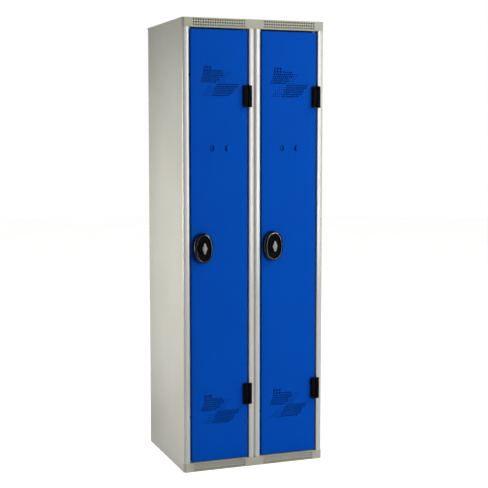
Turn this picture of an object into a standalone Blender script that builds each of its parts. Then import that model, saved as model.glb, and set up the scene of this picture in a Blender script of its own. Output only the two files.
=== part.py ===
"""Two-column steel cloakroom locker, in metres, +Z up, front towards -Y.

The origin is at the middle of the locker's footprint, on the floor. Every visible sheet is a
folded profile with a real thickness. Each door, lock and coat hook hangs on an empty that
stands on its joint's axis.
"""

import math

import bmesh
import bpy
from mathutils import Matrix, Vector

# Driving dimensions of the whole locker
HEIGHT = 1.800
WIDTH = 0.600
DEPTH = 0.500
COLUMNS = 2
SHEET = 0.001          # steel sheet thickness
GAP = 0.0003           # clearance between touching pieces
BEND_RADIUS = 0.002    # outer radius of a plain fold

# Front frame
CORNER_RADIUS = 0.011  # outer radius of the carcass's front corners
OUTER_POST_FACE = 0.026
POST_FACE = 0.023      # half of the centre post
RAIL_HEIGHT = 0.037
VALLEY_TURN = math.radians(80)  # how far each half of the centre post turns into its valley
STOP_FLANGE = 0.013    # how far the stop flange stands into the opening
REAR_FLANGE = 0.022
ROOF_FLANGE = 0.010

# Doors
DOOR_RECESS = 0.006    # door face behind the post face
DOOR_THICKNESS = 0.018
DOOR_HEM = 0.012
LOCK_GAP = 0.010       # opening edge to door on the lock side
HINGE_GAP = 0.0045
HEAD_GAP = 0.006
SILL_GAP = 0.003
STIFFENER_WIDTH = 0.060
STIFFENER_DEPTH = 0.012
STIFFENER_FOOT = 0.014
STIFFENER_END_GAP = 0.300

# Hinges: a frame leaf, a door leaf and a pin
HINGE_HEIGHT = 0.086
HINGE_FROM_END = 0.302     # hinge centre to the locker's top or bottom
HINGE_DOOR_WIDTH = 0.021
HINGE_POST_WIDTH = 0.011
BARREL_RADIUS = 0.0045
PIN_RADIUS = 0.002
DOOR_KNUCKLE = 0.030
HINGE_RUN_CLEARANCE = 0.0007
HINGE_LEAF_PROUD = 0.0025  # door leaf's face in front of the pin's axis
HINGE_EDGE = 0.0012        # rounding of a leaf's edges
WEB_SHARE = 0.8            # web thickness as a share of the barrel's

# Lock
LOCK_WIDTH = 0.080
LOCK_HEIGHT = 0.121
LOCK_PROUD = 0.026
LOCK_RIM_SHARE = 0.35      # rounding of the housing's rim as a share of its depth
LOCK_FROM_DOOR_EDGE = 0.0455
LOCK_HEIGHT_FROM_FLOOR = 0.899
WELL_RADIUS = 0.0225
WELL_DEPTH = 0.006
BOSS_RADIUS = 0.0105
BOSS_REACH = 0.012
SPINDLE_RADIUS = 0.006
ROTOR_THICKNESS = 0.0065
NUT_RADIUS = 0.017
NUT_THICKNESS = 0.005
GRIP_WIDTH = 0.026
GRIP_HEIGHT = 0.044
GRIP_THICKNESS = 0.007
GRIP_END_RADIUS = 0.0058
GRIP_LOBE_TURN = 140       # degrees of each round end
GRIP_EDGE = 0.0012
CAM_THICKNESS = 0.003
CAM_WIDTH = 0.018
CAM_STANDOFF = 0.0012
CAM_BITE = 0.006           # overlap of the locked cam behind the stop flange
CAM_EYE_WALL = 0.005
SCREW_HEAD_RADIUS = 0.0085
SCREW_HEAD_THICKNESS = 0.003

# Interior
SHELF_FROM_TOP = 0.330
SHELF_LIP = 0.020
SHELF_SETBACK = 0.012      # shelf's front edge behind the stop flange
HANGING_RAIL_RADIUS = 0.008
HANGING_RAIL_DROP = 0.055  # shelf to rail centre
SOCKET_RADIUS = 0.0135
SOCKET_DEPTH = 0.011
SOCKET_FLANGE = 0.019
SOCKET_FLANGE_THICKNESS = 0.003
HOOK_RING_WIDTH = 0.012
HOOK_RING_WALL = 0.003
HOOK_WIRE_RADIUS = 0.0025
HOOK_BEND_RADIUS = 0.014
HOOK_SHANK = 0.032
HOOK_TURN = math.radians(200)
HOOKS_PER_COLUMN = 2
BUMPER_RADIUS = 0.005
BUMPER_THICKNESS = 0.0019
BUMPER_INSET = 0.001       # from the stop flange's free edge
BUMPER_FROM_END = 0.220
GLIDE_HEIGHT = 0.002
GLIDE_RADIUS = 0.0135
GLIDE_STEM_RADIUS = 0.011
GLIDE_STEM_HEIGHT = 0.010
FLOOR_DROP = 0.003         # floor panel's top under the door's lower edge

ARC_STEPS = 6
BEND_STEPS = 2
ROUND_STEPS = 20
PIN_STEPS = 12
OVAL_STEPS = 32
WELL_STEPS = 24
LOBE_STEPS = 6
HOOK_STEPS = 7
NUT_SIDES = 6
SEAM = 0.0001              # points of a turned piece's seam join within this
WELD = 0.00001             # points of a swept wire join within this

# Derived places
REVEAL_DEPTH = DOOR_RECESS + DOOR_THICKNESS + BUMPER_THICKNESS + 2 * GAP  # post face to stop flange
RAIL_STANDOFF = SHEET + GAP
ROTOR_FRONT = LOCK_PROUD - WELL_DEPTH + GAP + ROTOR_THICKNESS
GRIP_FRONT = ROTOR_FRONT + GAP + GRIP_THICKNESS
LOCK_DEPTH_NET = GRIP_FRONT - DOOR_RECESS - RAIL_STANDOFF  # lock in front of the front rails
FRONT = -(DEPTH - LOCK_DEPTH_NET) / 2
BACK = FRONT + DEPTH
POST_FRONT = FRONT + RAIL_STANDOFF
DOOR_FRONT = POST_FRONT + DOOR_RECESS
DOOR_BACK = DOOR_FRONT + DOOR_THICKNESS
STOP_FRONT = POST_FRONT + REVEAL_DEPTH
SIDE_OUT = WIDTH / 2 - RAIL_STANDOFF
SIDE_IN = SIDE_OUT - SHEET
ROOF_UNDER = HEIGHT - SHEET
PANEL_TOP = ROOF_UNDER - GAP
PANEL_BOTTOM = GLIDE_HEIGHT
REAR_FOLD = BACK - RAIL_STANDOFF
BACK_PANEL_REAR = REAR_FOLD - SHEET - GAP
BACK_PANEL_FRONT = BACK_PANEL_REAR - SHEET
FLOOR_TOP = RAIL_HEIGHT - FLOOR_DROP
SHELF_TOP = HEIGHT - SHELF_FROM_TOP
SHELF_FRONT = STOP_FRONT + SHELF_SETBACK
TRAY_FRONT = STOP_FRONT + SHEET + GAP
TRAY_EDGE = SIDE_IN - GAP
TRAY_REAR = BACK_PANEL_FRONT - GAP
PITCH = WIDTH / COLUMNS
DOOR_LOW = RAIL_HEIGHT + SILL_GAP
DOOR_HIGH = HEIGHT - RAIL_HEIGHT - HEAD_GAP
HINGE_AXIS_Y = POST_FRONT - BARREL_RADIUS - 2 * GAP
CAM_FRONT = STOP_FRONT + SHEET + CAM_STANDOFF
RAIL_Z = SHELF_TOP - HANGING_RAIL_DROP
RAIL_Y = (SHELF_FRONT + BACK_PANEL_FRONT) / 2

PARTS = "school_locker"
CUTTERS = "cutters"


def collection(name):
    """The named collection, made and linked once."""
    if name not in bpy.data.collections:
        bpy.context.scene.collection.children.link(bpy.data.collections.new(name))
    return bpy.data.collections[name]


def finish(name, colour, roughness, metallic=0.0):
    """A Principled material of one colour (linear RGB), roughness and metallic value."""
    material = bpy.data.materials.new(name)
    material.use_nodes = True
    shader = material.node_tree.nodes["Principled BSDF"]
    shader.inputs["Base Color"].default_value = (*colour, 1.0)
    shader.inputs["Roughness"].default_value = roughness
    shader.inputs["Metallic"].default_value = metallic
    material.diffuse_color = (*colour, 1.0)
    return material


FINISHES = {
    "carcass": ((0.52, 0.51, 0.46), 0.42, 0.0),
    "door": ((0.003, 0.068, 0.42), 0.38, 0.0),
    "black": ((0.006, 0.006, 0.007), 0.25, 0.0),
    "zinc": ((0.32, 0.33, 0.31), 0.38, 1.0),
    "steel": ((0.55, 0.55, 0.56), 0.3, 1.0),
    "rubber": ((0.02, 0.02, 0.02), 0.8, 0.0),
    "hook": ((0.05, 0.05, 0.055), 0.45, 0.0),
}


def add_part(name, form, look, location=(0, 0, 0), parent=None):
    """Links a new mesh object made from a bmesh, at a world place, under an optional pivot."""
    mesh = bpy.data.meshes.new(name)
    form.to_mesh(mesh)
    form.free()
    part = bpy.data.objects.new(name, mesh)
    collection(PARTS).objects.link(part)
    settle(part, look, location, parent)
    return part


def settle(part, look, location, parent):
    """Places a part and gives it its own copy of a finish."""
    colour, roughness, metallic = FINISHES[look]
    part.data.materials.append(finish(part.name, colour, roughness, metallic))
    origin = Vector(location)
    if parent is not None:
        part.parent = parent
        origin = origin - Vector(parent.location)
    part.location = origin


def pivot(name, location):
    """An empty on a joint's axis, which carries the pieces that move with it."""
    empty = bpy.data.objects.new(name, None)
    empty.location = location
    collection(PARTS).objects.link(empty)
    return empty


def filleted(corners, radii, steps=BEND_STEPS):
    """The open outline through the corners, each inner corner turned into an arc of its radius."""
    points = [Vector(corners[0])]
    for index, radius in enumerate(radii, start=1):
        corner = Vector(corners[index])
        back = (Vector(corners[index - 1]) - corner).normalized()
        ahead = (Vector(corners[index + 1]) - corner).normalized()
        half = back.angle(ahead) / 2
        reach = radius / math.tan(half)
        centre = corner + (back + ahead).normalized() * radius / math.sin(half)
        start = corner + back * reach - centre
        turn = math.pi - 2 * half
        side = 1 if back.x * ahead.y - back.y * ahead.x < 0 else -1
        for step in range(steps + 1):
            angle = side * turn * step / steps
            spin = Matrix.Rotation(angle, 2)
            points.append(centre + spin @ start)
    points.append(Vector(corners[-1]))
    return points


def sheet_modifier(part, thickness=SHEET):
    """Gives an open surface its sheet thickness, on the side away from its normals."""
    solid = part.modifiers.new("sheet", "SOLIDIFY")
    solid.thickness = thickness
    solid.offset = -1.0
    solid.use_even_offset = True
    solid.use_quality_normals = True
    return solid


def upright_sheet(outline, low, high):
    """A bmesh surface that stands on a plan outline; its normals are on the outline's right."""
    form = bmesh.new()
    lower = [form.verts.new((point[0], point[1], low)) for point in outline]
    upper = [form.verts.new((point[0], point[1], high)) for point in outline]
    for a in range(len(outline) - 1):
        form.faces.new((lower[a], lower[a + 1], upper[a + 1], upper[a]))
    return form


def fold(form, test, offset):
    """Folds a flange out of the boundary edges that pass a test on their midpoint."""
    edges = [e for e in form.edges if e.is_boundary and test((e.verts[0].co + e.verts[1].co) / 2)]
    moved = bmesh.ops.extrude_edge_only(form, edges=edges)["geom"]
    bmesh.ops.translate(form, verts=[v for v in moved if isinstance(v, bmesh.types.BMVert)], vec=offset)


def block(size, steps=0, radius=0.0, depth_only=False):
    """A bmesh box of the given size about its own centre, with optional rounded upright edges."""
    form = bmesh.new()
    bmesh.ops.create_cube(form, size=1.0, matrix=Matrix.Diagonal((*size, 1.0)))
    if steps:
        edges = [e for e in form.edges if not depth_only or abs(e.verts[0].co.z - e.verts[1].co.z) > size[2] / 2]
        bmesh.ops.bevel(form, geom=edges, offset=radius, segments=steps, affect="EDGES", profile=0.5)
    return form


def cylinder(radius, length, axis="Z", steps=ROUND_STEPS, centre=(0, 0, 0)):
    """A bmesh cylinder about its own centre along X, Y or Z."""
    turn = {"Z": Matrix(), "X": Matrix.Rotation(math.pi / 2, 4, "Y"), "Y": Matrix.Rotation(math.pi / 2, 4, "X")}
    form = bmesh.new()
    bmesh.ops.create_cone(
        form, cap_ends=True, segments=steps, radius1=radius, radius2=radius, depth=length,
        matrix=Matrix.Translation(centre) @ turn[axis],
    )
    return form


def tool(name, form, location):
    """A hidden solid that cuts or joins another."""
    mesh = bpy.data.meshes.new(name)
    form.to_mesh(mesh)
    form.free()
    part = bpy.data.objects.new(name, mesh)
    part.location = location
    part.hide_render = True
    part.display_type = "WIRE"
    collection(CUTTERS).objects.link(part)
    return part


def combine(part, operand, operation):
    """Cuts or joins a part with a hidden solid."""
    boolean = part.modifiers.new(operand.name, "BOOLEAN")
    boolean.object = operand
    boolean.operation = operation
    boolean.solver = "EXACT"
    return boolean


def turned(name, profile, look, location, axis, parent=None, steps=ROUND_STEPS):
    """A turned piece: a profile of (radius, height) points, down its outer side, swept round an axis."""
    form = bmesh.new()
    loop = [form.verts.new((radius, 0, height)) for radius, height in profile]
    for a, b in zip(loop, loop[1:] + loop[:1]):
        if max(a.co.x, b.co.x) > 0:
            form.edges.new((a, b))
    part = add_part(name, form, look, location, parent)
    quarter = math.pi / 2
    part.rotation_euler = {"Z": (0, 0, 0), "X": (0, quarter, 0), "-X": (0, -quarter, 0), "-Y": (quarter, 0, 0)}[axis]
    screw = part.modifiers.new("turn", "SCREW")
    screw.steps = steps
    screw.render_steps = steps
    screw.use_merge_vertices = True
    screw.merge_threshold = SEAM
    return part


def smooth(part, degrees=30):
    """Smooth shading with sharp folds."""
    part.data.shade_smooth()
    part.data.set_sharp_from_angle(angle=math.radians(degrees))


# ---------------------------------------------------------------- carcass


def side_outline(hand):
    """Plan outline of a side panel with its front post; hand is -1 for left, 1 for right."""
    post_radius = CORNER_RADIUS - RAIL_STANDOFF
    inner = WIDTH / 2 - OUTER_POST_FACE
    corners = [
        (-(SIDE_OUT - REAR_FLANGE), REAR_FOLD),
        (-SIDE_OUT, REAR_FOLD),
        (-SIDE_OUT, POST_FRONT),
        (-inner, POST_FRONT),
        (-inner, STOP_FRONT),
        (-(inner - STOP_FLANGE), STOP_FRONT),
    ]
    first = filleted(corners[:3] + corners[3:4], [BEND_RADIUS, post_radius], ARC_STEPS)
    rest = filleted(corners[2:], [BEND_RADIUS, SHEET])
    outline = first[:-1] + rest[1:]
    if hand > 0:
        outline = [Vector((-p.x, p.y)) for p in reversed(outline)]
    return outline


def make_side_panels():
    """Both outer sides, each one sheet from its rear flange round the front post to the door stop."""
    for hand, side in ((-1, "left"), (1, "right")):
        form = upright_sheet(side_outline(hand), PANEL_BOTTOM, PANEL_TOP)
        part = add_part(f"side_panel_{side}", form, "carcass")
        sheet_modifier(part)
        smooth(part)


def make_centre_post():
    """The folded centre post: two rounded posts side by side with a valley between them."""
    radius = CORNER_RADIUS - RAIL_STANDOFF
    left = [(-POST_FACE - STOP_FLANGE, STOP_FRONT), (-POST_FACE, STOP_FRONT), (-POST_FACE, POST_FRONT), (-radius, POST_FRONT)]
    outline = filleted(left, [SHEET, BEND_RADIUS])
    centre = Vector((-radius, POST_FRONT + radius))
    for step in range(1, ARC_STEPS + 1):
        angle = VALLEY_TURN * step / ARC_STEPS
        outline.append(centre + radius * Vector((math.sin(angle), -math.cos(angle))))
    outline += [Vector((-p.x, p.y)) for p in reversed(outline)]
    form = upright_sheet(outline, PANEL_BOTTOM, PANEL_TOP)
    part = add_part("centre_post", form, "carcass")
    sheet_modifier(part)
    smooth(part)


def make_partition():
    """The sheet between the columns, with a front flange on the post and a rear flange on the back."""
    front, rear = TRAY_FRONT, TRAY_REAR
    corners = [(STOP_FLANGE, rear), (0, rear), (0, front), (STOP_FLANGE, front)]
    form = upright_sheet(filleted(corners, [BEND_RADIUS, BEND_RADIUS]), FLOOR_TOP + GAP, PANEL_TOP)
    sheet_modifier(add_part("centre_partition", form, "carcass"))


def make_back_panel():
    """The flat back sheet, inside the sides' rear flanges."""
    wide = 2 * (SIDE_IN - GAP)
    tall = PANEL_TOP - PANEL_BOTTOM
    place = (0, BACK_PANEL_REAR - SHEET / 2, (PANEL_TOP + PANEL_BOTTOM) / 2)
    add_part("back_panel", block((wide, SHEET, tall)), "carcass", place)


def make_roof():
    """The roof sheet with flanges turned down over both sides and the back."""
    form = bmesh.new()
    edge = WIDTH / 2
    start = FRONT + CORNER_RADIUS + GAP
    centre = Vector((edge - CORNER_RADIUS, FRONT + CORNER_RADIUS))
    radius = CORNER_RADIUS - RAIL_STANDOFF
    half = []
    for step in range(ARC_STEPS + 1):
        angle = math.pi / 2 * step / ARC_STEPS
        half.append(centre + radius * Vector((math.sin(angle), -math.cos(angle))))
    half += [Vector((edge - RAIL_STANDOFF, start)), Vector((edge, start)), Vector((edge, BACK))]
    outline = half + [Vector((-p.x, p.y)) for p in reversed(half)]
    form.faces.new([form.verts.new((p.x, p.y, HEIGHT)) for p in outline])
    fold(form, lambda m: abs(m.x) > edge - GAP or m.y > BACK - GAP, (0, 0, -ROOF_FLANGE))
    sheet_modifier(add_part("roof_panel", form, "carcass"))


def make_floor_panel():
    """The compartment floor, a tray with its flanges turned down to the ground gap."""
    form = bmesh.new()
    corners = [(-TRAY_EDGE, TRAY_FRONT), (TRAY_EDGE, TRAY_FRONT), (TRAY_EDGE, TRAY_REAR), (-TRAY_EDGE, TRAY_REAR)]
    form.faces.new([form.verts.new((x, y, FLOOR_TOP)) for x, y in corners])
    fold(form, lambda m: True, (0, 0, PANEL_BOTTOM - FLOOR_TOP))
    sheet_modifier(add_part("floor_panel", form, "carcass"))


def make_front_rail(name, low, high, shelf_z, drop):
    """A front rail wrapped round both corners, with a ledge folded back between the posts."""
    edge = WIDTH / 2
    ledge_gap = SHEET
    stops = []
    for column in range(COLUMNS):
        left, right = opening_edges(column)
        stops += [left + ledge_gap, right - ledge_gap]
    arc_centre = Vector((-edge + CORNER_RADIUS, FRONT + CORNER_RADIUS))
    arc = []
    for step in range(ARC_STEPS + 1):
        angle = math.pi / 2 * step / ARC_STEPS
        arc.append(arc_centre + CORNER_RADIUS * Vector((-math.cos(angle), -math.sin(angle))))
    outline = arc + [Vector((x, FRONT)) for x in stops] + [Vector((-p.x, p.y)) for p in reversed(arc)]
    form = upright_sheet(outline, low, high)
    spans = [(a, b) for a, b in zip(stops[0::2], stops[1::2])]

    def on_ledge(m):
        return abs(m.z - shelf_z) < GAP and any(a < m.x < b for a, b in spans)

    fold(form, on_ledge, (0, STOP_FRONT - GAP - FRONT, 0))
    rear = STOP_FRONT - GAP
    fold(form, lambda m: abs(m.y - rear) < GAP / 2, (0, 0, drop))
    part = add_part(name, form, "carcass")
    sheet_modifier(part)
    smooth(part)


def make_rails():
    """The top and bottom front rails."""
    top_low = HEIGHT - RAIL_HEIGHT
    lip = RAIL_HEIGHT / 3
    make_front_rail("top_rail", top_low, HEIGHT, top_low, lip)
    make_front_rail("bottom_rail", GLIDE_HEIGHT, RAIL_HEIGHT, RAIL_HEIGHT, -lip)


def column_walls(column):
    """The inner faces, left and right, of a column's compartment."""
    left = -SIDE_IN if column == 0 else SHEET
    right = 0.0 if column == 0 else SIDE_IN
    return left, right


def make_shelf(column, side):
    """A hat shelf: a tray with its front and rear edges turned down."""
    left, right = column_walls(column)
    rear = BACK_PANEL_FRONT - BEND_RADIUS - GAP
    form = bmesh.new()
    corners = [(left + GAP, SHELF_FRONT), (right - GAP, SHELF_FRONT), (right - GAP, rear), (left + GAP, rear)]
    form.faces.new([form.verts.new((x, y, SHELF_TOP)) for x, y in corners])
    fold(form, lambda m: abs(m.y - SHELF_FRONT) < GAP or abs(m.y - rear) < GAP, (0, 0, -SHELF_LIP))
    sheet_modifier(add_part(f"hat_shelf_{side}", form, "carcass"))


def make_hanging_rail(column, side):
    """The hanging tube of a column and the two sockets that hold its ends."""
    left, right = column_walls(column)
    inset = SOCKET_FLANGE_THICKNESS + GAP
    length = right - left - 2 * inset - 2 * GAP
    middle = (left + right) / 2
    inner = HANGING_RAIL_RADIUS - SHEET
    tube = [(HANGING_RAIL_RADIUS, length / 2), (HANGING_RAIL_RADIUS, -length / 2), (inner, -length / 2), (inner, length / 2)]
    smooth(turned(f"hanging_rail_{side}", tube, "steel", (middle, RAIL_Y, RAIL_Z), "X"))
    bore = HANGING_RAIL_RADIUS + GAP
    cup = [
        (SOCKET_FLANGE, SOCKET_FLANGE_THICKNESS), (SOCKET_FLANGE, 0), (0, 0),
        (0, SOCKET_FLANGE_THICKNESS), (bore, SOCKET_FLANGE_THICKNESS), (bore, SOCKET_DEPTH),
        (SOCKET_RADIUS, SOCKET_DEPTH), (SOCKET_RADIUS, SOCKET_FLANGE_THICKNESS),
    ]
    for end, wall, axis in (("left", left + GAP, "X"), ("right", right - GAP, "-X")):
        smooth(turned(f"rail_socket_{side}_{end}", cup, "black", (wall, RAIL_Y, RAIL_Z), axis))


def hook_path():
    """The hook wire's centre line in its own plane: down the shank, round the bend, up to the tip."""
    top = -(HANGING_RAIL_RADIUS + HOOK_RING_WALL / 2)
    points = [(0.0, top), (0.0, top - HOOK_SHANK)]
    bend = Vector((-HOOK_BEND_RADIUS, top - HOOK_SHANK))
    for step in range(1, HOOK_STEPS + 1):
        angle = HOOK_TURN * step / HOOK_STEPS
        points.append((bend.x + HOOK_BEND_RADIUS * math.cos(angle), bend.y - HOOK_BEND_RADIUS * math.sin(angle)))
    return points


def make_hook(name, place):
    """A sliding coat hook: a ring round the tube joined to a bent wire that opens to the front."""
    carrier = pivot(f"{name}_pivot", place)
    bore = HANGING_RAIL_RADIUS + HINGE_RUN_CLEARANCE
    outer = bore + HOOK_RING_WALL
    half = HOOK_RING_WIDTH / 2
    ring = turned(name, [(outer, half), (outer, -half), (bore, -half), (bore, half)], "hook", place, "X", carrier)
    curve = bpy.data.curves.new(f"{name}_wire", "CURVE")
    curve.dimensions = "3D"
    curve.bevel_depth = HOOK_WIRE_RADIUS
    curve.bevel_resolution = 2
    curve.use_fill_caps = True
    spline = curve.splines.new("POLY")
    points = hook_path()
    spline.points.add(len(points) - 1)
    for knot, (across, up) in zip(spline.points, points):
        knot.co = (0, across, up, 1)
    wire = bpy.data.objects.new(f"{name}_wire", curve)
    collection(CUTTERS).objects.link(wire)
    bpy.context.view_layer.update()
    mesh = bpy.data.meshes.new_from_object(wire.evaluated_get(bpy.context.evaluated_depsgraph_get()))
    bpy.data.objects.remove(wire)
    form = bmesh.new()
    form.from_mesh(mesh)
    bmesh.ops.remove_doubles(form, verts=form.verts, dist=WELD)
    combine(ring, tool(f"{name}_shank", form, place), "UNION")


def make_hooks(column, side):
    """The sliding hooks of a column, spread evenly along its tube."""
    left, right = column_walls(column)
    for index in range(HOOKS_PER_COLUMN):
        x = left + (right - left) * (2 * index + 1) / (2 * HOOKS_PER_COLUMN)
        make_hook(f"coat_hook_{side}_{index + 1}", (x, RAIL_Y, RAIL_Z))


def make_glides():
    """Four glides, each a pad under the floor tray's corner with a plug that fits inside its flanges."""
    inset = SHEET + GAP + GLIDE_STEM_RADIUS
    for along, end in ((TRAY_FRONT + inset, "front"), (TRAY_REAR - inset, "rear")):
        for hand, side in ((-1, "left"), (1, "right")):
            place = (hand * (TRAY_EDGE - inset), along, 0)
            top = PANEL_BOTTOM - GAP
            profile = [(0, GLIDE_STEM_HEIGHT), (GLIDE_STEM_RADIUS, GLIDE_STEM_HEIGHT), (GLIDE_STEM_RADIUS, top),
                       (GLIDE_RADIUS, top), (GLIDE_RADIUS, 0), (0, 0)]
            smooth(turned(f"glide_{end}_{side}", profile, "rubber", place, "Z"))


# ---------------------------------------------------------------- doors


def opening_edges(column):
    """The left and right edges of a column's door opening."""
    left = -WIDTH / 2 + column * PITCH
    left_post = OUTER_POST_FACE if column == 0 else POST_FACE
    right_post = OUTER_POST_FACE if column == COLUMNS - 1 else POST_FACE
    return left + left_post, left + PITCH - right_post


def lock_place(column):
    """The lock's axis on a column's door face."""
    left, _ = opening_edges(column)
    return left + LOCK_GAP + LOCK_FROM_DOOR_EDGE, DOOR_FRONT, LOCK_HEIGHT_FROM_FLOOR


def make_door(column, side, carrier):
    """The door pan: face, four returned edges and their hems, with the lock's hole."""
    left, right = opening_edges(column)
    low_x, high_x = left + LOCK_GAP, right - HINGE_GAP
    form = bmesh.new()
    corners = [(low_x, DOOR_LOW), (high_x, DOOR_LOW), (high_x, DOOR_HIGH), (low_x, DOOR_HIGH)]
    middle = Vector(((low_x + high_x) / 2, 0, (DOOR_LOW + DOOR_HIGH) / 2))
    rings = []
    for inset, depth in ((0.0, 0.0), (0.0, DOOR_THICKNESS), (DOOR_HEM, DOOR_THICKNESS)):
        ring = []
        for x, z in corners:
            inward = (math.copysign(inset, middle.x - x), math.copysign(inset, middle.z - z))
            ring.append(form.verts.new((x + inward[0] - middle.x, depth, z + inward[1] - middle.z)))
        rings.append(ring)
    form.faces.new(rings[0])
    for outer, inner in zip(rings, rings[1:]):
        for a in range(4):
            b = (a + 1) % 4
            form.faces.new((outer[b], outer[a], inner[a], inner[b]))
    face_edges = [e for e in form.edges if all(v.co.y < GAP for v in e.verts)]
    bmesh.ops.bevel(form, geom=face_edges, offset=BEND_RADIUS, segments=BEND_STEPS, affect="EDGES", profile=0.5)
    door = add_part(f"door_{side}", form, "door", middle + Vector((0, DOOR_FRONT, 0)), carrier)
    sheet_modifier(door)
    hole = cylinder(BOSS_RADIUS + GAP, 4 * SHEET, "Y")
    combine(door, tool(f"door_{side}_lock_hole", hole, lock_place(column)), "DIFFERENCE")
    smooth(door)


def make_stiffener(column, side, carrier):
    """The upright hat-section stiffener behind the door, its two feet on the face sheet."""
    left, right = opening_edges(column)
    lock_x = lock_place(column)[0]
    centre = (lock_x + NUT_RADIUS + right - HINGE_GAP) / 2
    foot_y = DOOR_FRONT + SHEET + GAP
    crown = STIFFENER_WIDTH / 2 - STIFFENER_FOOT
    half = STIFFENER_WIDTH / 2
    top_y = foot_y + STIFFENER_DEPTH
    corners = [(half, foot_y), (crown, foot_y), (crown, top_y), (-crown, top_y), (-crown, foot_y), (-half, foot_y)]
    corners = [(x, y + SHEET) for x, y in corners]
    outline = filleted(corners, [BEND_RADIUS] * 4)
    low, high = DOOR_LOW + STIFFENER_END_GAP, DOOR_HIGH - STIFFENER_END_GAP
    form = upright_sheet(outline, low, high)
    sheet_modifier(add_part(f"door_stiffener_{side}", form, "door", (centre, 0, 0), carrier))


def hinge_leaf(name, x_low, x_high, y_low, y_high, knuckles, axis, look, parent):
    """A hinge leaf: a plate with webs and barrel lengths on the pin axis, bored for the pin."""
    size = (x_high - x_low, y_high - y_low, HINGE_HEIGHT)
    middle = Vector(((x_low + x_high) / 2, (y_low + y_high) / 2, 0))
    leaf = add_part(name, block(size, BEND_STEPS, HINGE_EDGE), look, Vector(axis) + middle, parent)
    reach = x_low if x_low > 0 else x_high
    web_half = BARREL_RADIUS * WEB_SHARE
    for index, (low, high) in enumerate(knuckles):
        place = Vector(axis) + Vector((0, 0, (low + high) / 2))
        web_length = abs(reach) + SHEET
        web_front, web_back = max(y_low, -web_half), min(y_high, web_half)
        web = block((web_length, web_back - web_front, high - low))
        web_at = place + Vector((math.copysign(web_length / 2, reach), (web_front + web_back) / 2, 0))
        combine(leaf, tool(f"{name}_web_{index}", web, web_at), "UNION")
        barrel = cylinder(BARREL_RADIUS, high - low, steps=ROUND_STEPS)
        combine(leaf, tool(f"{name}_barrel_{index}", barrel, place), "UNION")
    bore = cylinder(PIN_RADIUS + GAP, 2 * HINGE_HEIGHT, steps=PIN_STEPS)
    combine(leaf, tool(f"{name}_bore", bore, axis), "DIFFERENCE")


def make_hinge(column, side, end, height, carrier):
    """One hinge: frame leaf on the post, door leaf on the door, and the pin through both."""
    _, right = opening_edges(column)
    axis = Vector((right - HINGE_GAP / 2, HINGE_AXIS_Y, height))
    clear = BARREL_RADIUS + HINGE_RUN_CLEARANCE
    half = HINGE_HEIGHT / 2
    middle = DOOR_KNUCKLE / 2
    frame_knuckles = [(-half, -middle - GAP), (middle + GAP, half)]
    post_back = POST_FRONT - GAP - HINGE_AXIS_Y
    door_back = DOOR_FRONT - GAP - HINGE_AXIS_Y
    hinge_leaf(f"hinge_frame_leaf_{side}_{end}", clear, HINGE_POST_WIDTH + clear / 2, -SHEET, post_back,
               frame_knuckles, axis, "black", None)
    hinge_leaf(f"hinge_door_leaf_{side}_{end}", -HINGE_DOOR_WIDTH, -clear, -HINGE_LEAF_PROUD, door_back,
               [(-middle, middle)], axis, "black", carrier)
    pin = cylinder(PIN_RADIUS, HINGE_HEIGHT - 2 * SHEET, steps=PIN_STEPS)
    add_part(f"hinge_pin_{side}_{end}", pin, "steel", axis)


def oval(width, height, low, high, steps=OVAL_STEPS):
    """A bmesh oval block along Y from low to high."""
    form = bmesh.new()
    bmesh.ops.create_cone(
        form, cap_ends=True, segments=steps, radius1=0.5, radius2=0.5, depth=1.0,
        matrix=Matrix.Translation((0, (low + high) / 2, 0)) @ Matrix.Diagonal((width, high - low, height, 1.0))
        @ Matrix.Rotation(math.pi / 2, 4, "X"),
    )
    return form


def make_lock_housing(column, side, carrier):
    """The black oval housing with its well, its spindle bore and the threaded boss through the door."""
    place = lock_place(column)
    form = oval(LOCK_WIDTH, LOCK_HEIGHT, -LOCK_PROUD, -GAP)
    rim = [e for e in form.edges if all(v.co.y < -LOCK_PROUD + GAP for v in e.verts)]
    bmesh.ops.bevel(form, geom=rim, offset=LOCK_PROUD * LOCK_RIM_SHARE, segments=3, affect="EDGES", profile=0.5)
    housing = add_part(f"lock_housing_{side}", form, "black", place, carrier)
    boss_length = BOSS_REACH + LOCK_PROUD / 2
    boss = cylinder(BOSS_RADIUS, boss_length, "Y", centre=(0, BOSS_REACH - boss_length / 2, 0))
    combine(housing, tool(f"lock_{side}_boss", boss, place), "UNION")
    well = cylinder(WELL_RADIUS, 2 * WELL_DEPTH, "Y", steps=WELL_STEPS, centre=(0, -LOCK_PROUD, 0))
    combine(housing, tool(f"lock_{side}_well", well, place), "DIFFERENCE")
    bore = cylinder(SPINDLE_RADIUS + GAP, 4 * LOCK_PROUD, "Y", steps=ROUND_STEPS)
    combine(housing, tool(f"lock_{side}_bore", bore, place), "DIFFERENCE")


def make_lock_nut(column, side, carrier):
    """The hexagon nut that clamps the housing's boss behind the door sheet."""
    x, y, z = lock_place(column)
    start = SHEET + GAP
    form = cylinder(NUT_RADIUS, NUT_THICKNESS, "Y", steps=NUT_SIDES, centre=(0, start + NUT_THICKNESS / 2, 0))
    nut = add_part(f"lock_nut_{side}", form, "zinc", (x, y, z), carrier)
    hole = cylinder(BOSS_RADIUS + GAP, 4 * NUT_THICKNESS, "Y", centre=(0, start, 0))
    combine(nut, tool(f"lock_nut_{side}_hole", hole, (x, y, z)), "DIFFERENCE")


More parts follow.
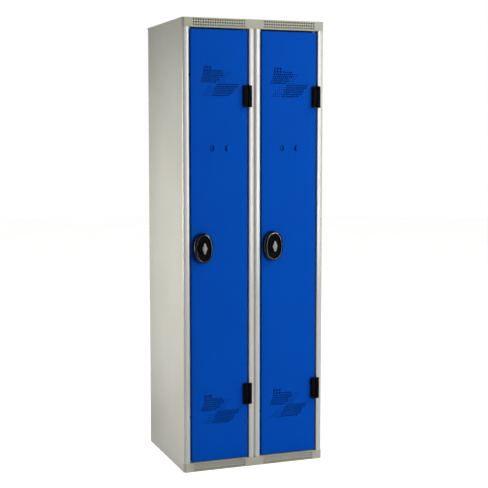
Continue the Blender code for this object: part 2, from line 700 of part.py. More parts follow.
def make_lock_rotor(column, side, carrier):
    """The black rotor disc in the well, with its spindle through to the cam."""
    place = lock_place(column)
    disc_back = LOCK_PROUD - WELL_DEPTH + GAP
    spindle_end = CAM_FRONT + CAM_THICKNESS - DOOR_FRONT
    disc = WELL_RADIUS - 2 * GAP
    profile = [(0, ROTOR_FRONT), (disc, ROTOR_FRONT), (disc, disc_back),
               (SPINDLE_RADIUS, disc_back), (SPINDLE_RADIUS, -spindle_end), (0, -spindle_end)]
    smooth(turned(f"lock_rotor_{side}", profile, "black", place, "-Y", carrier))


def grip_outline():
    """The grip's outline: an upright diamond with a round lobe at each end."""
    points = []
    reach = GRIP_HEIGHT / 2 - GRIP_END_RADIUS
    for end in (1, -1):
        for step in range(LOBE_STEPS + 1):
            angle = math.radians(GRIP_LOBE_TURN * (step / LOBE_STEPS - 0.5))
            points.append((-end * GRIP_END_RADIUS * math.sin(angle), end * (reach + GRIP_END_RADIUS * math.cos(angle))))
        points.append((-end * GRIP_WIDTH / 2, 0))
    return points


def make_grip(column, side, carrier):
    """The zinc turn-grip on the rotor's face."""
    x, y, z = lock_place(column)
    back = -(ROTOR_FRONT + GAP)
    form = bmesh.new()
    face = form.faces.new([form.verts.new((across, back, up)) for across, up in grip_outline()])
    pulled = bmesh.ops.extrude_face_region(form, geom=[face])["geom"]
    verts = [v for v in pulled if isinstance(v, bmesh.types.BMVert)]
    bmesh.ops.translate(form, verts=verts, vec=(0, -GRIP_THICKNESS, 0))
    bmesh.ops.recalc_face_normals(form, faces=form.faces)
    grip = add_part(f"lock_grip_{side}", form, "zinc", (x, y, z), carrier)
    edge = grip.modifiers.new("edge", "BEVEL")
    edge.width = GRIP_EDGE
    edge.segments = BEND_STEPS
    edge.limit_method = "ANGLE"


def make_cam(column, side, carrier):
    """The locking cam on the spindle's end, hanging down when unlocked, and its screw."""
    x, y, z = lock_place(column)
    flange_to_axis = LOCK_GAP + LOCK_FROM_DOOR_EDGE - STOP_FLANGE
    length = flange_to_axis + CAM_BITE
    bore = SPINDLE_RADIUS + GAP
    head = bore + CAM_EYE_WALL
    form = block((CAM_WIDTH, CAM_THICKNESS, length - CAM_WIDTH / 2), 0)
    depth = CAM_FRONT + CAM_THICKNESS / 2 - DOOR_FRONT
    bmesh.ops.translate(form, verts=form.verts, vec=(0, depth, -(length - CAM_WIDTH / 2) / 2))
    cam = add_part(f"lock_cam_{side}", form, "zinc", (x, y, z), carrier)
    ends = (("eye", head, 0.0), ("tip", CAM_WIDTH / 2 - GAP, -(length - CAM_WIDTH / 2)))
    for end, radius, up in ends:
        disc = cylinder(radius, CAM_THICKNESS, "Y", centre=(0, depth, up))
        combine(cam, tool(f"lock_cam_{side}_{end}", disc, (x, y, z)), "UNION")
    hole = cylinder(bore, 4 * CAM_THICKNESS, "Y", centre=(0, depth, 0))
    combine(cam, tool(f"lock_cam_{side}_hole", hole, (x, y, z)), "DIFFERENCE")
    screw_at = CAM_FRONT + CAM_THICKNESS + GAP + SCREW_HEAD_THICKNESS / 2 - DOOR_FRONT
    screw = cylinder(SCREW_HEAD_RADIUS, SCREW_HEAD_THICKNESS, "Y", centre=(0, screw_at, 0))
    add_part(f"cam_screw_{side}", screw, "steel", (x, y, z), carrier)


def make_bumpers(column, side):
    """Two rubber buffers on the stop flange, where the closed door rests."""
    left, _ = opening_edges(column)
    front = DOOR_BACK + GAP
    back = STOP_FRONT - GAP
    x = left + STOP_FLANGE - BUMPER_RADIUS - BUMPER_INSET
    for end, z in (("upper", HEIGHT - BUMPER_FROM_END), ("lower", BUMPER_FROM_END)):
        form = cylinder(BUMPER_RADIUS, back - front, "Y", steps=PIN_STEPS)
        add_part(f"door_bumper_{side}_{end}", form, "rubber", (x, (front + back) / 2, z))


def make_column(column, side):
    """Everything that belongs to one column: fittings, door, hinges and lock."""
    make_shelf(column, side)
    make_hanging_rail(column, side)
    make_hooks(column, side)
    make_bumpers(column, side)
    _, right = opening_edges(column)
    swing = pivot(f"door_{side}_pivot", (right - HINGE_GAP / 2, HINGE_AXIS_Y, 0))
    make_door(column, side, swing)
    make_stiffener(column, side, swing)
    for end, height in (("upper", HEIGHT - HINGE_FROM_END), ("lower", HINGE_FROM_END)):
        make_hinge(column, side, end, height, swing)
    make_lock_housing(column, side, swing)
    make_lock_nut(column, side, swing)
    spin = pivot(f"lock_{side}_pivot", lock_place(column))
    make_lock_rotor(column, side, spin)
    make_grip(column, side, spin)
    make_cam(column, side, spin)


def main():
    """Clears the scene and builds the locker."""
    for old in list(bpy.data.objects):
        bpy.data.objects.remove(old)
    make_side_panels()
    make_centre_post()
    make_partition()
    make_back_panel()
    make_roof()
    make_floor_panel()
    make_rails()
    for column, side in enumerate(("left", "right")):
        make_column(column, side)
    make_glides()


main()
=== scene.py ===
"""The looks of a two-column steel cloakroom locker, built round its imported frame.

The frame gives every place. The sheets that show are folded again here with finer bends, real
perforations, vent holes and pressed label holders; the locks and hinges are modelled as the
moulded and cast pieces they are. Every other CAD node stays and is dressed.
"""

import logging
import math
from collections.abc import Callable, Iterable, Mapping, Sequence
from dataclasses import dataclass, field
from enum import Enum
from typing import Any

import bmesh
import bpy
from mathutils import Matrix, Vector
from mathutils.geometry import delaunay_2d_cdt


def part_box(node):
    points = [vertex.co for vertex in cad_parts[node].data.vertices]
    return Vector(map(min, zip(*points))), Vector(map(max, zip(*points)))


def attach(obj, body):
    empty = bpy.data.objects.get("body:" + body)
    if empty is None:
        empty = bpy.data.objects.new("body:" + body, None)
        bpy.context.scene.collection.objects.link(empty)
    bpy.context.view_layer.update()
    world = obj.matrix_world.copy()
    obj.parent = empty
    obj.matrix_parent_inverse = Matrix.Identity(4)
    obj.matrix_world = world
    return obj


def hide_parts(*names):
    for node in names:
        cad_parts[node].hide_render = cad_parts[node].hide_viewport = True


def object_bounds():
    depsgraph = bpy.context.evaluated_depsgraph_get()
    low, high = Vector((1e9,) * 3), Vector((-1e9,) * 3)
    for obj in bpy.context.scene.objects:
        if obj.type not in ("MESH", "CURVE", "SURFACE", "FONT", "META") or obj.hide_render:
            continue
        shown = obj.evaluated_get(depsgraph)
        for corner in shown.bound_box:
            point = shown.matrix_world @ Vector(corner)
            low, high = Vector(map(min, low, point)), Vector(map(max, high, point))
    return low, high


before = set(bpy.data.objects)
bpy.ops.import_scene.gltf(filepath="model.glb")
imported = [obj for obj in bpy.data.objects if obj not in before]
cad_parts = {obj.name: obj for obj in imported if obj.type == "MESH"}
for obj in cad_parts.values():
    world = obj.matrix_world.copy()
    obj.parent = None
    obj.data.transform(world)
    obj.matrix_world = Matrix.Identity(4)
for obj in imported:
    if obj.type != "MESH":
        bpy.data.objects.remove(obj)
CAD_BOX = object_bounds()

LOG = logging.getLogger("school_locker")
MM = 0.001
UM = 1e-6
CLEARANCE = 0.3 * MM  # kept between neighbouring sheets and in running fits
SOFT_EDGE = 0.3 * MM  # how far a sheared edge is eased
SHARP_ANGLE = math.radians(40)  # edges sharper than this are rounded
NEAR = 1e-6  # places closer than this are one place
FACING = 0.9  # a normal with this much of an axis faces along it
TRIANGLES_INSIDE = 1  # the triangulation's output mode
TRIANGLE_EPSILON = 1e-7
MOTTLE_LOW, MOTTLE_HIGH = 0.3, 0.7  # the noise seldom leaves this range

Point2 = tuple[float, float]
Point3 = tuple[float, float, float]


class Side(Enum):
    """The two columns, by the hand they stand on when seen from the front."""

    LEFT = "left"
    RIGHT = "right"


class Slot(Enum):
    """The record's material slots."""

    CARCASS = "carcass_paint"
    DOOR = "door_paint"
    BLACK = "black_plastic"
    ZINC = "zinc_casting"
    STEEL = "bright_steel"
    NYLON = "moulded_nylon"
    RUBBER = "rubber"


# ---------------------------------------------------------------- finishes


def linear(hex_colour: str) -> tuple[float, float, float, float]:
    """Turns an sRGB hex colour into linear RGBA.

    Args:
        hex_colour: six hex digits after a hash.

    Returns:
        Linear red, green and blue, with an alpha of one.
    """
    channels = [int(hex_colour[at : at + 2], 16) / 255 for at in (1, 3, 5)]
    red, green, blue = (c / 12.92 if c <= 0.04045 else ((c + 0.055) / 1.055) ** 2.4 for c in channels)
    return red, green, blue, 1.0


def per_metre(millimetres: float) -> float:
    """The texture scale at which one pattern cell is this many millimetres wide."""
    return 1000.0 / millimetres


def add_node(
    tree: bpy.types.NodeTree,
    kind: str,
    settings: Mapping[str | int, Any] | None = None,
    links: Mapping[str | int, bpy.types.NodeSocket] | None = None,
) -> bpy.types.Node:
    """Adds a shader node with its settings and links.

    Args:
        tree: the node tree to add to.
        kind: the node's type name.
        settings: properties and input values by name; a name that is an input sets the input.
        links: output sockets by the name of the input they feed.

    Returns:
        The new node.
    """
    node = tree.nodes.new(kind)
    for name, value in (settings or {}).items():
        if isinstance(name, int) or name in node.inputs:
            node.inputs[name].default_value = value
        else:
            setattr(node, name, value)
    for name, socket in (links or {}).items():
        tree.links.new(socket, node.inputs[name])
    return node


@dataclass(frozen=True)
class Finish:
    """A surface finish: two close tones, a roughness range and a fine relief.

    The tones drift over mottle_mm and the relief has grains grain_mm wide and grain_um high.
    """

    name: str
    slot: Slot
    tone: str
    drift: str
    smoothest: float
    roughest: float
    mottle_mm: float
    grain_mm: float
    grain_um: float
    ior: float = 1.5
    specular: float = 0.5
    stretch: Point3 = (1.0, 1.0, 1.0)

    def shader_values(self) -> dict[str, Any]:
        """The shader inputs that are the same all over this finish."""
        return {"IOR": self.ior, "Specular IOR Level": self.specular}

    def relief(self, tree: bpy.types.NodeTree, place: bpy.types.NodeSocket) -> bpy.types.NodeSocket:
        """Adds the nodes of the fine relief.

        Args:
            tree: the material's node tree.
            place: object coordinates in metres.

        Returns:
            The height, from zero to one.
        """
        grain = add_node(
            tree,
            "ShaderNodeTexNoise",
            {"Scale": per_metre(self.grain_mm), "Detail": 2.0, "Roughness": 0.55},
            {"Vector": place},
        )
        return grain.outputs["Fac"]

    def build(self) -> bpy.types.Material:
        """Makes the material.

        Returns:
            The new material.
        """
        material = bpy.data.materials.new(self.name)
        material.use_nodes = True
        tree = material.node_tree
        shader = tree.nodes["Principled BSDF"]
        for name, value in self.shader_values().items():
            shader.inputs[name].default_value = value
        where = add_node(tree, "ShaderNodeTexCoord").outputs["Object"]
        drawn = add_node(tree, "ShaderNodeMapping", {"Scale": self.stretch}, {"Vector": where})
        place = drawn.outputs["Vector"]
        mottle = add_node(
            tree,
            "ShaderNodeTexNoise",
            {"Scale": per_metre(self.mottle_mm), "Detail": 3.0, "Roughness": 0.5},
            {"Vector": place},
        )
        colour = add_node(tree, "ShaderNodeValToRGB", links={"Fac": mottle.outputs["Fac"]})
        low, high = colour.color_ramp.elements
        low.position, low.color = MOTTLE_LOW, linear(self.drift)
        high.position, high.color = MOTTLE_HIGH, linear(self.tone)
        tree.links.new(colour.outputs["Color"], shader.inputs["Base Color"])
        height = self.relief(tree, place)
        gloss = add_node(
            tree,
            "ShaderNodeMapRange",
            {
                "From Min": MOTTLE_LOW,
                "From Max": MOTTLE_HIGH,
                "To Min": self.smoothest,
                "To Max": self.roughest,
            },
            {"Value": mottle.outputs["Fac"]},
        )
        tree.links.new(gloss.outputs["Result"], shader.inputs["Roughness"])
        bump = add_node(
            tree,
            "ShaderNodeBump",
            {"Strength": 1.0, "Distance": self.grain_um * UM},
            {"Height": height},
        )
        tree.links.new(bump.outputs["Normal"], shader.inputs["Normal"])
        material.diffuse_color = linear(self.tone)
        return material


@dataclass(frozen=True)
class PowderCoat(Finish):
    """Polyester powder, sprayed dry on steel sheet and baked until it flows."""


@dataclass(frozen=True)
class MouldedPlastic(Finish):
    """Injection-moulded plastic, with the skin of the mould's own surface."""


@dataclass(frozen=True)
class Metal(Finish):
    """Bare or plated metal. It keeps the shader's own IOR."""

    def shader_values(self) -> dict[str, Any]:
        """The shader inputs that are the same all over this finish."""
        return {"Metallic": 1.0}


# Carcass: light grey polyester powder coat, semi-gloss. The eye gets soft broad highlights on
# the folds, and an orange peel that is about 2 mm wide and only breaks up the sheen.
GREY_POWDER_COAT = PowderCoat(
    "light_grey_powder_coat", Slot.CARCASS, tone="#D0D0C8", drift="#CBCBC2",
    smoothest=0.18, roughest=0.22, mottle_mm=260.0, grain_mm=2.2, grain_um=6.0,
)
# Front rails: the same grey with a matting agent, so no highlight forms on them and their rows of
# square holes stay easy to see. Their tone, a tone darker and warmer than the grey, is painted shade:
# it stands in for the light that the rails, at the top and foot of the front, don't catch as the posts do.
RAIL_COAT_WITH_PAINTED_SHADE = PowderCoat(
    "matt_grey_powder_coat_with_painted_shade", Slot.CARCASS, tone="#BBBAA8", drift="#B5B4A2",
    smoothest=0.55, roughest=0.62, mottle_mm=120.0, grain_mm=1.6, grain_um=12.0, specular=0.25,
)
# Doors: signal blue polyester powder coat, matt. A deep even blue that never whitens under the
# lights, with the same orange peel.
BLUE_POWDER_COAT = PowderCoat(
    "signal_blue_powder_coat", Slot.DOOR, tone="#0051BF", drift="#004EBA",
    smoothest=0.62, roughest=0.7, mottle_mm=220.0, grain_mm=2.2, grain_um=10.0, specular=0.03,
)
# Lock housings' rims: polished injection-moulded ABS. Near black with sharp highlights on the
# shoulders, and a flow ripple too shallow to see straight on.
BLACK_ABS = MouldedPlastic(
    "polished_black_abs", Slot.BLACK, tone="#060606", drift="#080808",
    smoothest=0.1, roughest=0.14, mottle_mm=18.0, grain_mm=3.5, grain_um=6.0, ior=1.54,
)
# Hinge leaves, lock dishes and rotors: the same black from a spark-eroded mould. Its fine matt skin
# stays dark under every light.
SATIN_ABS = MouldedPlastic(
    "spark_eroded_black_abs", Slot.BLACK, tone="#040505", drift="#060606",
    smoothest=0.6, roughest=0.7, mottle_mm=12.0, grain_mm=0.8, grain_um=8.0, ior=1.54, specular=0.05,
)
# Grips, nuts and cams: die-cast zinc alloy, tumbled. A warm mid grey with a fine cast skin.
CAST_ZINC = Metal(
    "tumbled_die_cast_zinc", Slot.ZINC, tone="#868984", drift="#70736E",
    smoothest=0.45, roughest=0.6, mottle_mm=6.0, grain_mm=0.9, grain_um=14.0,
)
# Pins, screws and hanging tubes: bright zinc-plated drawn steel. Fine draw lines run along it.
PLATED_STEEL = Metal(
    "bright_zinc_plated_steel", Slot.STEEL, tone="#C9CACC", drift="#B5B6B8",
    smoothest=0.2, roughest=0.32, mottle_mm=12.0, grain_mm=0.6, grain_um=5.0, stretch=(0.06, 1.0, 1.0),
)
# Coat hooks and rail sockets: moulded nylon. Its spark-eroded skin gives a soft dark grey sheen.
BLACK_NYLON = MouldedPlastic(
    "spark_eroded_black_nylon", Slot.NYLON, tone="#2A2A2B", drift="#242425",
    smoothest=0.5, roughest=0.62, mottle_mm=14.0, grain_mm=0.5, grain_um=12.0, ior=1.53,
)
# Buffers and glides: pressed natural rubber, dull, with a faint bloom that greys it.
BLACK_RUBBER = MouldedPlastic(
    "pressed_black_rubber", Slot.RUBBER, tone="#222221", drift="#2A2A29",
    smoothest=0.78, roughest=0.9, mottle_mm=8.0, grain_mm=0.8, grain_um=20.0, ior=1.52,
)


class Paintshop:
    """Makes each finish once and puts it on pieces."""

    def __init__(self) -> None:
        """Starts with no material made."""
        self.made: dict[str, bpy.types.Material] = {}

    def material(self, finish: Finish) -> bpy.types.Material:
        """The finish's material, made at its first use."""
        if finish.name not in self.made:
            self.made[finish.name] = finish.build()
        return self.made[finish.name]

    def stand_in(self, piece: bpy.types.Object, finish: Finish, node: str, body: str) -> None:
        """Dresses a new piece and puts it in place of its CAD node.

        Args:
            piece: the piece, with or without materials.
            finish: the finish that it gets.
            node: the CAD node that it stands for.
            body: the body that it rides on.
        """
        piece.data.materials.clear()
        piece.data.materials.append(self.material(finish))
        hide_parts(node)
        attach(piece, body)
        LOG.info("%s: %d faces", piece.name, len(piece.data.polygons))

    def dress_node(self, name: str, finish: Finish) -> None:
        """Gives a CAD node a finish and softens its sheared edges.

        Args:
            name: the CAD node.
            finish: the finish that it gets.
        """
        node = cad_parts[name]
        for material_slot in node.material_slots:
            material_slot.link = "OBJECT"
            material_slot.material = self.material(finish)
        round_edges(node, SOFT_EDGE, 2).harden_normals = True
        LOG.info("%s: dressed in %s", name, finish.name)


# ---------------------------------------------------------------- mesh helpers


def new_piece(name: str, form: bmesh.types.BMesh) -> bpy.types.Object:
    """Links a new mesh object made from a bmesh, which is freed.

    Args:
        name: the piece's name.
        form: its mesh, in the frame's own coordinates.

    Returns:
        The new object.
    """
    mesh = bpy.data.meshes.new(name)
    form.to_mesh(mesh)
    form.free()
    piece = bpy.data.objects.new(name, mesh)
    bpy.context.scene.collection.objects.link(piece)
    return piece


def smooth(piece: bpy.types.Object, degrees: float = 35.0) -> None:
    """Shades a piece smooth, with folds sharper than the angle kept crisp."""
    piece.data.shade_smooth()
    piece.data.set_sharp_from_angle(angle=math.radians(degrees))


def apply_modifiers(piece: bpy.types.Object) -> None:
    """Replaces a piece's mesh by what its modifiers make of it."""
    bpy.context.view_layer.update()
    shaped = piece.evaluated_get(bpy.context.evaluated_depsgraph_get())
    mesh = bpy.data.meshes.new_from_object(shaped)
    mesh.name = piece.name
    piece.modifiers.clear()
    piece.data = mesh


def thicken(piece: bpy.types.Object, thickness: float) -> None:
    """Gives an open surface its sheet thickness, on the side away from its normals."""
    solid = piece.modifiers.new("sheet", "SOLIDIFY")
    solid.thickness = thickness
    solid.offset = -1.0
    solid.use_even_offset = True
    solid.use_quality_normals = True
    apply_modifiers(piece)


def round_edges(piece: bpy.types.Object, width: float, segments: int) -> bpy.types.BevelModifier:
    """Adds a modifier that rounds a piece's sharp edges.

    Args:
        piece: the piece or CAD node.
        width: how far each edge is rounded.
        segments: how many facets the round has.

    Returns:
        The modifier.
    """
    edge = piece.modifiers.new("softened_edge", "BEVEL")
    edge.width = width
    edge.segments = segments
    edge.limit_method = "ANGLE"
    edge.angle_limit = SHARP_ANGLE
    return edge


def eased(share: float) -> float:
    """A share from zero to one, slowed at both ends."""
    share = max(0.0, min(1.0, share))
    return share * share * (3 - 2 * share)


def box_form(low: Vector, high: Vector) -> bmesh.types.BMesh:
    """A closed box between two corners.

    Args:
        low: its lowest corner.
        high: its highest corner.

    Returns:
        The box.
    """
    form = bmesh.new()
    place = Matrix.Translation((low + high) / 2) @ Matrix.Diagonal((*(high - low), 1.0))
    bmesh.ops.create_cube(form, size=1.0, matrix=place)
    return form


def arc(centre: Point2, radius: float, start: float, end: float, steps: int) -> list[Vector]:
    """Points along a circular arc.

    Args:
        centre: the arc's centre.
        radius: its radius.
        start: the first angle, in degrees from +X.
        end: the last angle.
        steps: how many segments it has.

    Returns:
        The points, both ends included.
    """
    angles = (math.radians(start + (end - start) * step / steps) for step in range(steps + 1))
    return [Vector((centre[0] + radius * math.cos(a), centre[1] + radius * math.sin(a))) for a in angles]


def filleted(corners: Sequence[Point2], radii: Sequence[float], steps: int = 5) -> list[Vector]:
    """An open outline with each inner corner turned into an arc.

    Args:
        corners: the sharp outline, ends included.
        radii: one radius for each inner corner.
        steps: segments in each arc.

    Returns:
        The outline's points.
    """
    points = [Vector(corners[0])]
    for index, radius in enumerate(radii, start=1):
        corner = Vector(corners[index])
        back = (Vector(corners[index - 1]) - corner).normalized()
        ahead = (Vector(corners[index + 1]) - corner).normalized()
        half = back.angle(ahead) / 2
        centre = corner + (back + ahead).normalized() * radius / math.sin(half)
        start = corner + back * radius / math.tan(half) - centre
        turn = math.pi - 2 * half
        side = 1 if back.x * ahead.y - back.y * ahead.x < 0 else -1
        for step in range(steps + 1):
            points.append(centre + Matrix.Rotation(side * turn * step / steps, 2) @ start)
    points.append(Vector(corners[-1]))
    return points


def upright_sheet(outline: Sequence[Vector], low: float, high: float) -> bmesh.types.BMesh:
    """A surface that stands on a plan outline, with its normals on the outline's right.

    Args:
        outline: plan points in order.
        low: the height of its lower edge.
        high: the height of its upper edge.

    Returns:
        The surface.
    """
    form = bmesh.new()
    lower = [form.verts.new((point.x, point.y, low)) for point in outline]
    upper = [form.verts.new((point.x, point.y, high)) for point in outline]
    for a, b, c, d in zip(lower, lower[1:], upper[1:], upper):
        form.faces.new((a, b, c, d))
    return form


def loft(form: bmesh.types.BMesh, rings: Sequence[Sequence[bmesh.types.BMVert]]) -> None:
    """Joins closed rings of the same number of points with quads.

    Args:
        form: the mesh that holds the rings.
        rings: the rings, in order.
    """
    for ring, beyond in zip(rings, rings[1:]):
        for a in range(len(ring)):
            b = (a + 1) % len(ring)
            form.faces.new((ring[a], ring[b], beyond[b], beyond[a]))


def carry(
    form: bmesh.types.BMesh,
    line: Iterable[bmesh.types.BMVert],
    path: Iterable[tuple[float | None, float | None, float | None]],
    flip: bool,
) -> None:
    """Carries a line of vertices through a path of places, with a strip of quads at each step.

    Args:
        form: the mesh that holds the line.
        line: the vertices, in order.
        path: the coordinates at each step, where None keeps the vertex's own.
        flip: whether the quads look the other way.
    """
    line = list(line)
    for place in path:
        beyond = []
        for vert in line:
            beyond.append(form.verts.new([own if new is None else new for own, new in zip(vert.co, place)]))
        for a, b, c, d in zip(line, line[1:], beyond[1:], beyond):
            form.faces.new((a, d, c, b) if flip else (a, b, c, d))
        line = beyond


def disc_loop(x: float, z: float, radius: float, steps: int) -> list[Point2]:
    """A round hole's loop, as points on the face plane."""
    angles = [math.tau * step / steps for step in range(steps)]
    return [(x + radius * math.cos(a), z + radius * math.sin(a)) for a in angles]


@dataclass
class PunchedPlate:
    """A flat plate with holes, as a constrained triangulation on the X-Z plane.

    Its outline and holes are loops of (x, z). relief moves the plate's points off the plane: it
    takes x and z, and returns how far a point stands to the front.
    """

    outline: list[Point2]
    front: float
    holes: list[list[Point2]] = field(default_factory=list)
    guides: list[Point2] = field(default_factory=list)
    relief: Callable[[float, float], float] | None = None

    def add_to(self, form: bmesh.types.BMesh) -> list[bmesh.types.BMVert]:
        """Adds the plate's faces, which look to the front.

        Args:
            form: the mesh to add to.

        Returns:
            The outline's vertices, in the outline's order.
        """
        points: list[Point2] = []
        loops: list[list[int]] = []
        for loop in (self.outline, *self.holes):
            loops.append(list(range(len(points), len(points) + len(loop))))
            points.extend(loop)
        points.extend(self.guides)
        flat, _, triangles, origins, _, owners = delaunay_2d_cdt(
            [Vector(p) for p in points], [], loops, TRIANGLES_INSIDE, TRIANGLE_EPSILON
        )
        made = [form.verts.new((p.x, self.front - self.height(p.x, p.y), p.y)) for p in flat]
        for triangle, owner in zip(triangles, owners):
            if owner == [0]:
                form.faces.new([made[index] for index in triangle])
        found = {source: made[index] for index, sources in enumerate(origins) for source in sources}
        edge = [found[index] for index in loops[0]]
        bmesh.ops.delete(form, geom=[v for v in form.verts if not v.link_faces], context="VERTS")
        return edge

    def height(self, x: float, z: float) -> float:
        """How far a point of the plate stands to the front."""
        return self.relief(x, z) if self.relief else 0.0


def joined(name: str, forms: Iterable[bmesh.types.BMesh]) -> bpy.types.Object:
    """Unites solid forms into one closed piece.

    Args:
        name: the piece's name.
        forms: closed meshes in the frame's coordinates, the first one the base.

    Returns:
        The united piece.
    """
    pieces = [new_piece(name if index == 0 else f"{name}.tool", form) for index, form in enumerate(forms)]
    base = pieces[0]
    for tool in pieces[1:]:
        unite = base.modifiers.new("unite", "BOOLEAN")
        unite.object, unite.operation, unite.solver = tool, "UNION", "EXACT"
    apply_modifiers(base)
    for tool in pieces[1:]:
        bpy.data.objects.remove(tool)
    return base


def lathe(profile: Sequence[Point2], axis: Vector, steps: int) -> bmesh.types.BMesh:
    """A closed turned form about an upright axis.

    Args:
        profile: (radius, height) points up its outer side; both ends are closed with a cap.
        axis: a point on the axis that heights count from.
        steps: how many sides it has.

    Returns:
        The form.
    """
    form = bmesh.new()
    rings = []
    for radius, height in profile:
        plan = disc_loop(axis.x, axis.y, radius, steps)
        rings.append([form.verts.new((x, y, axis.z + height)) for x, y in plan])
    loft(form, rings)
    form.faces.new(reversed(rings[0]))
    form.faces.new(rings[-1])
    return form


# ---------------------------------------------------------------- carcass


@dataclass
class Carcass:
    """The grey body: folded sides and posts, punched front rails, and the plain sheets inside."""

    shop: Paintshop
    sheet: float = 1.0 * MM
    corner_radius: float = 9.7 * MM
    bend_radius: float = 2.0 * MM
    stop_flange: float = 13.0 * MM
    rear_flange: float = 22.0 * MM
    arc_steps: int = 14
    hole_size: float = 6.0 * MM
    hole_corner: float = 1.4 * MM
    hole_pitch_x: float = 10.0 * MM
    hole_pitch_z: float = 10.5 * MM
    holes_across: int = 22
    hole_rows: int = 3
    first_row: float = 7.6 * MM
    head_lip: float = 12.0 * MM
    sill_lip: float = 33.0 * MM
    bend_steps: int = 5
    valley_end: float = -10.0  # degrees: where the centre post's rounded edge meets its twin

    @property
    def stop_front(self) -> float:
        """The Y of the door stops, just in front of the partition."""
        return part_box("centre_partition")[0].y - self.sheet - CLEARANCE

    def side_panel(self, side: Side) -> None:
        """Builds one side: rear flange, flat, rounded front post, reveal and door stop."""
        node = f"side_panel_{side.value}"
        low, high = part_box(node)
        outer = max(abs(low.x), abs(high.x))
        stop_edge = min(abs(low.x), abs(high.x))
        inner = stop_edge + self.stop_flange
        corners = [
            (-(outer - self.rear_flange), high.y),
            (-outer, high.y),
            (-outer, low.y),
            (-inner, low.y),
            (-inner, self.stop_front),
            (-stop_edge, self.stop_front),
        ]
        first = filleted(corners[:4], [self.bend_radius, self.corner_radius], self.arc_steps)
        rest = filleted(corners[2:], [self.bend_radius, self.sheet])
        outline = first[:-1] + rest[1:]
        if side is Side.RIGHT:
            outline = [Vector((-p.x, p.y)) for p in reversed(outline)]
        self.folded(f"folded_side_{side.value}", node, upright_sheet(outline, low.z, high.z))

    def folded(
        self, name: str, node: str, form: bmesh.types.BMesh, finish: Finish = GREY_POWDER_COAT
    ) -> None:
        """Finishes a folded sheet of the carcass in place of its CAD node.

        Args:
            name: the piece's name.
            node: the CAD node that it stands for.
            form: its open surface.
            finish: its finish.
        """
        piece = new_piece(name, form)
        thicken(piece, self.sheet)
        smooth(piece)
        self.shop.stand_in(piece, finish, node, "carcass")

    def centre_post(self) -> None:
        """Builds the centre post: two rounded posts that meet in a valley."""
        low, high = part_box("centre_post")
        radius = self.corner_radius
        half = high.x - self.stop_flange
        left = [(low.x, self.stop_front), (-half, self.stop_front), (-half, low.y), (-radius, low.y)]
        outline = filleted(left, [self.sheet, self.bend_radius])
        outline += arc((-radius, low.y + radius), radius, -90, self.valley_end, self.arc_steps)[1:]
        outline += [Vector((-p.x, p.y)) for p in reversed(outline)]
        self.folded("folded_centre_post", "centre_post", upright_sheet(outline, low.z, high.z))

    def opening_edges(self) -> list[float]:
        """The left and right edge of each column's opening, from left to right."""
        post_low, post_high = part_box("centre_post")
        return [
            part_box("side_panel_left")[1].x - self.stop_flange,
            post_low.x + self.stop_flange,
            post_high.x - self.stop_flange,
            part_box("side_panel_right")[0].x + self.stop_flange,
        ]

    def square_hole(self, x: float, z: float) -> list[Point2]:
        """A punched square hole's loop, with its corners rounded by the punch."""
        half = self.hole_size / 2
        reach = half - self.hole_corner
        loop: list[Point2] = []
        for turn, (sx, sz) in enumerate(((1, 1), (-1, 1), (-1, -1), (1, -1))):
            corner = arc((x + sx * reach, z + sz * reach), self.hole_corner, 90 * turn, 90 * (turn + 1), 2)
            loop.extend((p.x, p.y) for p in corner)
        return loop

    def rail(self, name: str, node: str, ledge_below: bool) -> None:
        """Builds a punched front rail, wrapped round both corners, with a ledge over each door.

        Args:
            name: the piece's name.
            node: the CAD node that it stands for.
            ledge_below: whether the ledge folds back from the lower edge, as on the top rail.
        """
        low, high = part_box(node)
        radius = self.corner_radius + self.sheet + CLEARANCE
        stops = [edge + hand * self.sheet for edge, hand in zip(self.opening_edges(), (1, -1, 1, -1))]
        spans = list(zip(stops[0::2], stops[1::2]))
        ledge_z, outer_z = (low.z, high.z) if ledge_below else (high.z, low.z)
        inward = math.copysign(1.0, ledge_z - outer_z)
        start_z = ledge_z - inward * self.bend_radius
        ends = (low.x + radius, high.x - radius)
        ledge_line = [(ends[0], ledge_z)]
        for left, right in spans:
            ledge_line += [(left, ledge_z), (left, start_z), (right, start_z), (right, ledge_z)]
        ledge_line.append((ends[1], ledge_z))
        outline = [*ledge_line, (ends[1], outer_z), (ends[0], outer_z)]
        if not ledge_below:
            outline.reverse()
        holes = []
        for left, right in spans:
            column_x = (left + right) / 2
            for row in range(self.hole_rows):
                z = outer_z + inward * (self.first_row + row * self.hole_pitch_z)
                for across in range(self.holes_across):
                    x = column_x + (across - (self.holes_across - 1) / 2) * self.hole_pitch_x
                    holes.append(self.square_hole(x, z))
        form = bmesh.new()
        PunchedPlate(outline, low.y, holes).add_to(form)
        path = self.ledge_path(low.y, high.y, ledge_z, inward)
        for left, right in spans:
            line = [v for v in form.verts if v.is_boundary and abs(v.co.z - start_z) < NEAR]
            line = [v for v in line if left - NEAR < v.co.x < right + NEAR]
            carry(form, sorted(line, key=lambda v: v.co.x), path, flip=inward < 0)
        self.wrap_corners(form, ends, low.y, radius)
        # The rails' darker, warmer tone is painted shade.
        self.folded(name, node, form, RAIL_COAT_WITH_PAINTED_SHADE)

    def ledge_path(
        self, front: float, rear: float, ledge_z: float, inward: float
    ) -> list[tuple[None, float, float]]:
        """The path of a ledge's fold: its bend, its flat, and the lip that closes it at the rear.

        Args:
            front: the face's Y.
            rear: the ledge's rear Y.
            ledge_z: the ledge's height.
            inward: 1 if the opening is above the rail, or -1.

        Returns:
            The Y and Z of each step, with no X.
        """
        reach = self.bend_radius
        start_z = ledge_z - inward * reach
        path: list[tuple[None, float, float]] = []
        for step in range(1, self.bend_steps + 1):
            angle = math.pi / 2 * step / self.bend_steps
            y = front + reach * (1 - math.cos(angle))
            path.append((None, y, start_z + inward * reach * math.sin(angle)))
        path.append((None, rear, ledge_z))
        if inward > 0:
